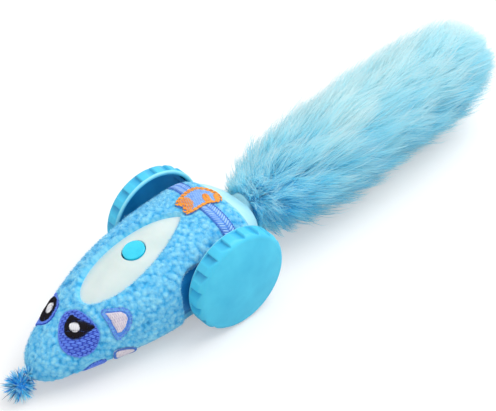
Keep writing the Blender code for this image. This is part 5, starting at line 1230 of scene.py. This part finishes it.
def makeTinsel():
    # Foil strips leave a small core in evenly spread directions, bend a little and twist as they go.
    rng = np.random.default_rng(5)
    count = tinsel["strips"]
    k = np.arange(count) + 0.5
    height, turn = 1 - 2 * k / count, k * goldenTurn
    flat = np.sqrt(1 - height**2)
    even = np.stack([flat * np.cos(turn), flat * np.sin(turn), height], -1)
    way = unit(even + rng.normal(0, 0.16, (count, 3)))
    bend = np.cross(way, unit(rng.normal(size=(count, 3))))
    length = tinsel["reach"] * (0.55 + 0.45 * rng.random(count) ** 0.8)
    centre = np.array(tinsel["centre"]) + axleLine
    t = np.linspace(0.12, 1, 6)
    neck = (rng.random(count) < tinsel["neckShare"]) & (way[:, 1] > -0.2)
    middle = centre + neck[:, None] * np.array(tinsel["neck"])
    length = np.where(neck, 0.6, 1.0) * length
    stray = rng.random(count) < tinsel["strayShare"]
    length = np.where(stray, 1.15 * tinsel["reach"], length)[:, None]
    line = middle[:, None] + way[:, None] * (length * t)[..., None]
    line += bend[:, None] * (length * tinsel["bend"] * t**2)[..., None]
    line[..., 2] = np.maximum(line[..., 2], tinsel["floor"])
    first = unit(np.cross(way, rng.normal(size=(count, 3))))
    second = np.cross(way, first)
    twist = rng.random((count, 1)) * 6 + t[None, :] * rng.normal(0, 1.6, (count, 1))
    sides = np.cos(twist)[..., None] * first[:, None] + np.sin(twist)[..., None] * second[:, None]
    widths = tinsel["width"] * np.array(tinsel["taper"]) * (0.7 + 0.6 * rng.random((count, 1)))
    shades = rng.random((count, 1)) * np.ones((1, 6))
    shades = np.where(stray[:, None], 0, 0.1 + 0.9 * shades)
    widths = np.where(stray[:, None], 0.6, 1) * widths
    strips = ribbons("tinselStrips", line, sides, widths, shades)
    lat = np.linspace(0.05, math.pi - 0.05, 18)[:, None]
    lon = np.linspace(0, 2 * math.pi, 28, endpoint=False)
    ball = [np.sin(lat) * np.cos(lon), np.sin(lat) * np.sin(lon), np.cos(lat) * np.ones_like(lon)]
    ball = np.stack(ball, -1)
    rings = centre + ball * (tinsel["core"] * (0.85 + 0.3 * softNoise(ball, 0.35, 2)))[..., None]
    points, faces = ringStack(rings)
    return strips, addMesh("tinselCore", points, faces, {"shade": np.full(len(points), 0.2)})


foilStops = [
    (0.0, (24, 72, 112)), (0.1, (10, 108, 216)), (0.28, (44, 182, 250)), (0.6, (104, 220, 255)),
    (1.0, (206, 248, 255)),
]
shiny = {"Metallic": 0.15, "Roughness": 0.28, "Coat_Weight": 0.3, "Coat_Roughness": 0.1}
foil, tree, shader = shadedMaterial("blueFoil", foilStops, **shiny)
addBump(tree, shader, objectNoise(tree, 2200, 2), 0.4, 0.0002)
strips, core = makeTinsel()
finish(strips, foil, "body", "nose_tinsel")
finish(core, foil, "body")
print("tinsel nose made")

# Fur tail

tail = {
    "pivotY": 33 * mm,
    "z": 5 * mm,
    "length": 174 * mm,
    "radius": 27.6 * mm,
    "mouth": -1.6 * mm,
    "front": -3.0 * mm,
    "puff": -0.04,
    "tube": 7.0 * mm,
    "tubeEnd": 3.0 * mm,
    "clumps": 1750,
    "perClump": 26,
    "sweep": (24 * mm, 14 * mm),  # the shortest, and how much longer the longest is
    "sweepEase": 34 * mm,
    "spreadAlong": 2.6 * mm,
    "spreadTurn": 0.17,
    "tipSpread": 1.6 * mm,
    "lowest": 1.2 * mm,
    "strandWidth": 0.32 * mm,
    "taper": [1, 1, 0.95, 0.85, 0.7, 0.48, 0.12],
    "turnFront": 1 * mm,
    "turnLength": 28 * mm,
    "bendUp": 6 * mm,
    "bendSide": 4.5 * mm,
    "bendPower": 1.5,
    "underFront": 4.6 * mm,
    "underShare": 0.56,
    # along and radius, as shares of the tail's own
    "shape": [
        (-0.02, 0.50), (0, 0.56), (0.02, 0.65), (0.05, 0.73), (0.09, 0.80), (0.16, 0.91), (0.26, 0.98),
        (0.40, 1), (0.55, 1), (0.70, 1), (0.82, 0.98), (0.91, 0.88), (0.965, 0.68), (0.99, 0.36),
    ],
}
tailShape = np.array(tail["shape"])


def tailRadius(share):
    return tail["radius"] * smoothValue(tailShape[:, 0], tailShape[:, 1], share)


def tailPoint(along, radius, turn):
    # A point by its distance along the tail, its distance from the tail's line and its turn round it.
    # The tail's line bends up and to the right towards its tip.
    along = np.broadcast_to(along, radius.shape)
    bend = np.clip(along / tail["length"], 0, 1) ** tail["bendPower"]
    x = radius * np.cos(turn) - tail["bendSide"] * bend
    z = tail["z"] + radius * np.sin(turn) + tail["bendUp"] * bend
    return np.stack([x, tail["pivotY"] + along, z], -1) + axleLine


def makeFur():
    # Strands leave the core, sweep back and gather at their clump's tip, which reaches the tail's outline.
    rng = np.random.default_rng(23)
    clumps, per, length, mouth = (tail[key] for key in ("clumps", "perClump", "length", "mouth"))
    share = ((np.arange(clumps) + rng.random(clumps)) / clumps) ** 1.08
    root = mouth + (0.94 * length - mouth) * share
    turn = np.arange(clumps) * goldenTurn + rng.normal(0, 0.15, clumps)
    shortest, longer = tail["sweep"]
    sweep = tail["puff"] + (1 - tail["puff"]) * smoothStep((root - mouth) / tail["sweepEase"])
    sweep = sweep * (shortest + longer * rng.random(clumps))
    sweep = np.minimum(sweep, (length * 0.985 - root) * (0.75 + 0.25 * rng.random(clumps)))
    full = 0.74 + 0.30 * rng.random(clumps)
    swirl = rng.normal(0, 0.2, clumps)
    tone = rng.random(clumps)
    # near the tip the clumps fill the whole section, not only its outside
    atEnd = smoothStep((root / length - 0.76) / 0.10)
    full *= 1 - atEnd * (1 - np.sqrt(rng.random(clumps)))
    count = clumps * per
    root, turn, sweep, full, swirl, tone = (np.repeat(a, per) for a in (root, turn, sweep, full, swirl, tone))
    spreadAlong = rng.normal(0, tail["spreadAlong"], count) * (0.3 + 0.7 * smoothStep(root / (14 * mm)))
    spreadTurn = rng.normal(0, tail["spreadTurn"], count)
    start = np.clip(root + spreadAlong, mouth, 0.95 * length)
    tip = root + sweep + spreadAlong * 0.45 + rng.normal(0, tail["tipSpread"], count)
    tip = np.clip(tip, tail["front"], 0.992 * length)
    t = np.linspace(0, 1, 7)[None, :]
    deep = np.minimum(0.34, 0.5 * full) * tailRadius(start / length)
    inner = np.where(start < tail["tubeEnd"], tail["tube"], deep)[:, None]
    outer = (tailRadius(tip / length) * (full + rng.normal(0, 0.07, count)))[:, None]
    radius = inner + (outer - inner) * (1 - (1 - t) ** 1.55)
    along = start[:, None] + (tip - start)[:, None] * t ** np.where(tip < start, 2.0, 1.2)[:, None]
    angle = turn[:, None] + spreadTurn[:, None] * (1 - 0.62 * t) + swirl[:, None] * t**2
    line = tailPoint(along, radius, angle)
    line[..., 2] = np.maximum(line[..., 2], tail["lowest"])
    tangent = unit(np.gradient(line, axis=1))
    away = np.stack([np.cos(angle), np.zeros_like(angle), np.sin(angle)], -1)
    sides = unit(np.cross(tangent, away + rng.normal(0, 0.45, (count, 1, 3))))
    widths = tail["strandWidth"] * np.array(tail["taper"]) * (0.75 + 0.5 * rng.random((count, 1)))
    # painted light makes the strands paler on the tail's upper, far side; they are also darker over the first
    # 60 mm next to the body and paler towards their tips
    pale = 0.17 * np.sin(angle - math.radians(30)) - 0.12 * smoothStep(1 - along / (60 * mm))
    own = 0.3 * (tone[:, None] - 0.5) + 0.2 * (rng.random((count, 1)) - 0.5)
    shades = np.clip(0.32 + pale + 0.5 * t**1.1 + own, 0, 1)
    pieces = []
    for k, name in enumerate(("tailFurRoot", "tailFurMiddle", "tailFurTip")):
        part = slice(k * count // 3, (k + 1) * count // 3)
        pieces.append(ribbons(name, line[part], sides[part], widths[part], shades[part]))
    return pieces


def makeUnderfur():
    # A soft core at just over half the tail's radius, roughened by noise, so that no light passes through.
    length, front = tail["length"], tail["underFront"]
    share = np.linspace(front / length, 0.955, 90)[:, None]
    turn = np.linspace(0, 2 * math.pi, 72, endpoint=False)[None, :]
    cone = 3.4 * mm + 1.7 * (share * length - front)
    radius = np.minimum(tail["underShare"] * tailRadius(share), cone) * np.ones(72)
    radius *= smoothStep((0.975 - share) / 0.12) * 0.9 + 0.1
    rough = tailPoint(share * length, radius, turn)
    radius = radius * (0.86 + 0.28 * softNoise(rough * [1, 0.35, 1], 3 * mm, 6))
    points, faces = ringStack(tailPoint(share * length, radius, turn))
    return addMesh("tailUnderfur", points, faces, {"shade": np.full(len(points), 0.5)})


def furMaterial():
    # Fur coloured by each strand's shade: deep at the root and pale at the tip, with painted light on the
    # tail's upper side, and a little light passing through each strand.
    material, tree, shader = newMaterial("longFur", Roughness=0.55, Sheen_Weight=0.5, Specular_IOR_Level=0.35)
    drift = objectNoise(tree, 60, 3, 0.6, (1, 0.35, 1))
    depth = maths(tree, "MULTIPLY_ADD", drift, 0.35, attribute(tree, "shade"))
    level = mapped(tree, depth, From_Min=0.12, From_Max=1.1)
    stops = [(0.0, (70, 210, 255)), (0.35, (130, 233, 255)), (0.65, (196, 246, 255)), (1.0, (240, 254, 255))]
    colour = ramp(tree, level, stops)
    setBase(tree, shader, colour)
    through = addNode(tree, "BsdfTranslucent", Color=colour).outputs["BSDF"]
    mix = addNode(tree, "MixShader", numbered={0: 0.6, 1: shader.outputs["BSDF"], 2: through})
    setSurface(tree, mix.outputs["Shader"])
    return material


furRoot, *furRest = makeFur()
underfur = makeUnderfur()
fur = furMaterial()
for piece in (furRoot, underfur):
    piece.data.materials.append(fur)
    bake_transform(piece)
for piece in furRest:
    finish(piece, fur, "tail")
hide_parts("tail_fur")
print("fur tail made:", sum(len(piece.data.polygons) for piece in (furRoot, *furRest)), "faces")

# Finishes of the solids that stay

plated = {"Metallic": 0.95}
finishes = {
    # the shell shows mainly in the wheel wells, and its deep blue is painted shade there
    "shell": moulded("shellPlastic", (18, 132, 204), (34, 154, 220), 0.38, 90, 0.08),
    # the hub is blue like the tyre, and its deeper tone is painted shade inside the wheel's hollow
    "hub": moulded("hubPlastic", (20, 146, 206), (40, 168, 224), 0.45, 120, 0.1),
    "steel": moulded("turnedSteel", (150, 152, 156), (182, 184, 188), 0.28, 900, 0.15, 6000, Metallic=1.0),
    "brass": moulded("turnedBrass", (186, 146, 70), (214, 176, 96), 0.3, 900, 0.15, 6000, Metallic=1.0),
    "motor": moulded("platedMotorCan", (148, 150, 152), (176, 178, 180), 0.33, 300, 0.12, 4200, **plated),
    "bush": moulded("bushPlastic", (228, 226, 216), (240, 238, 230), 0.4, 150, 0.08),
    "white": moulded("whitePlastic", (226, 228, 230), (240, 241, 242), 0.4, 130, 0.08),
    "gear": moulded("gearNylon", (224, 224, 214), (238, 237, 228), 0.42, 200, 0.08),
    "gear_dark": moulded("darkGearNylon", (88, 92, 98), (108, 112, 118), 0.42, 200, 0.08),
    "frame": moulded("framePlastic", (206, 208, 208), (222, 224, 224), 0.5, 130, 0.12),
    "black": moulded("blackPlastic", (22, 22, 24), (36, 36, 38), 0.45, 200, 0.1),
    "board": moulded("boardLacquer", (18, 92, 52), (34, 118, 70), 0.3, 700, 0.2, 1200),
    "lens": moulded("clearLens", (226, 236, 240), (240, 246, 250), 0.12, 200, 0.03, Transmission_Weight=0.5),
    "cell": moulded("cellFoil", (176, 182, 188), (200, 204, 208), 0.3, 160, 0.3, 900, Metallic=0.7),
    "rubber": moulded("softRubber", (40, 44, 50), (56, 60, 66), 0.7, 160, 0.2),
    "button": moulded("buttonPlastic", (40, 205, 240), (58, 222, 250), 0.3, 200, 0.06),
    "window": moulded("windowPlastic", (226, 234, 229), (240, 242, 240), 0.25, 60, 0.05),
    "tyre": tyreFinish,
    "thread": violetCloth,
    "ear": paleCloth,
    "fish": clothMaterial("orangeCloth", (230, 120, 30), (250, 160, 60)),
    "fleece": cover.data.materials[0],
    "tinsel": foil,
    "fur": fur,
}
for name, node in nodes.items():
    for slot in node.material_slots:
        found = slot.material.name.split(".")[0]
        if found in finishes:
            slot.material = finishes[found]
        else:
            print("no finish for", found, "on", name)
print("solids finished")

# Floor, light and camera

stage = {
    "half": 3.0,
    "floor": 0.66,
    "floorGlow": 0.37,
    "world": 0.80,
    "key": 5.0,
    "keySize": 0.7,
    "keyPlace": (0.22, 0.45, 0.84),
    "keyTarget": (0, 0, 0.03),
}
corners = np.array([(-1, -1, 0), (1, -1, 0), (1, 1, 0), (-1, 1, 0)], float) * stage["half"]
floor = addMesh("floor", corners, [np.array([[0, 1, 2, 3]])])
flat = {"Roughness": 0.9, "Base_Color": (stage["floor"],) * 3 + (1,), "Specular_IOR_Level": 0.1}
floorPaint, tree, shader = newMaterial("paleFloor", **flat)
glow = maths(tree, "MULTIPLY", addNode(tree, "LightPath").outputs["Is Camera Ray"], stage["floorGlow"])
emit = addNode(tree, "Emission", Color=(1, 1, 1, 1), Strength=glow).outputs["Emission"]
setSurface(tree, addNode(tree, "AddShader", numbered={0: shader.outputs["BSDF"], 1: emit}).outputs["Shader"])
floor.data.materials.append(floorPaint)

world = bpy.data.worlds.new("paleRoom")
bpy.context.scene.world = world
world.use_nodes = True
tree = world.node_tree
path = addNode(tree, "LightPath").outputs
seen = maths(tree, "MAXIMUM", path["Is Camera Ray"], path["Is Glossy Ray"])
seen = maths(tree, "MAXIMUM", seen, path["Is Transmission Ray"])
background = tree.nodes["Background"]
background.inputs["Color"].default_value = (1, 1, 1, 1)
tree.links.new(mapped(tree, seen, To_Min=stage["world"], To_Max=1.0), background.inputs["Strength"])

light = bpy.data.lights.new("keyLight", "AREA")
light.energy, light.size = stage["key"], stage["keySize"]
lamp = bpy.data.objects.new("keyLight", light)
bpy.context.scene.collection.objects.link(lamp)
lamp.location = stage["keyPlace"]
lampBack = Vector(np.subtract(stage["keyPlace"], stage["keyTarget"]))
lamp.rotation_euler = lampBack.to_track_quat("Z", "Y").to_euler()

view = {
    "azimuth": 51.8,
    "elevation": 40.2,
    "roll": -4.6,
    "distance": 0.450,
    "target": (0.0435, axleY, 0.075),
    "lens": 1090 * 36 / 496,
}


def makeCamera():
    # The camera stands back from its target along the view's direction and leans by the roll.
    a, e, roll = (math.radians(view[key]) for key in ("azimuth", "elevation", "roll"))
    back = np.array([math.sin(a) * math.cos(e), -math.cos(a) * math.cos(e), math.sin(e)])
    right = np.array([math.cos(a), math.sin(a), 0])
    up = np.cross(back, right)
    leanRight = math.cos(roll) * right + math.sin(roll) * up
    leanUp = -math.sin(roll) * right + math.cos(roll) * up
    place = np.array(view["target"]) + view["distance"] * back
    lens = bpy.data.cameras.new("camera")
    lens.lens, lens.sensor_width, lens.clip_start = view["lens"], 36, 0.01
    camera = bpy.data.objects.new("camera", lens)
    bpy.context.scene.collection.objects.link(camera)
    matrix = np.eye(4)
    matrix[:3] = np.stack([leanRight, leanUp, back, place], -1)
    camera.matrix_world = Matrix(matrix.tolist())
    bpy.context.scene.camera = camera


makeCamera()
bpy.context.scene.view_settings.view_transform = "Standard"
print("stage and camera set")
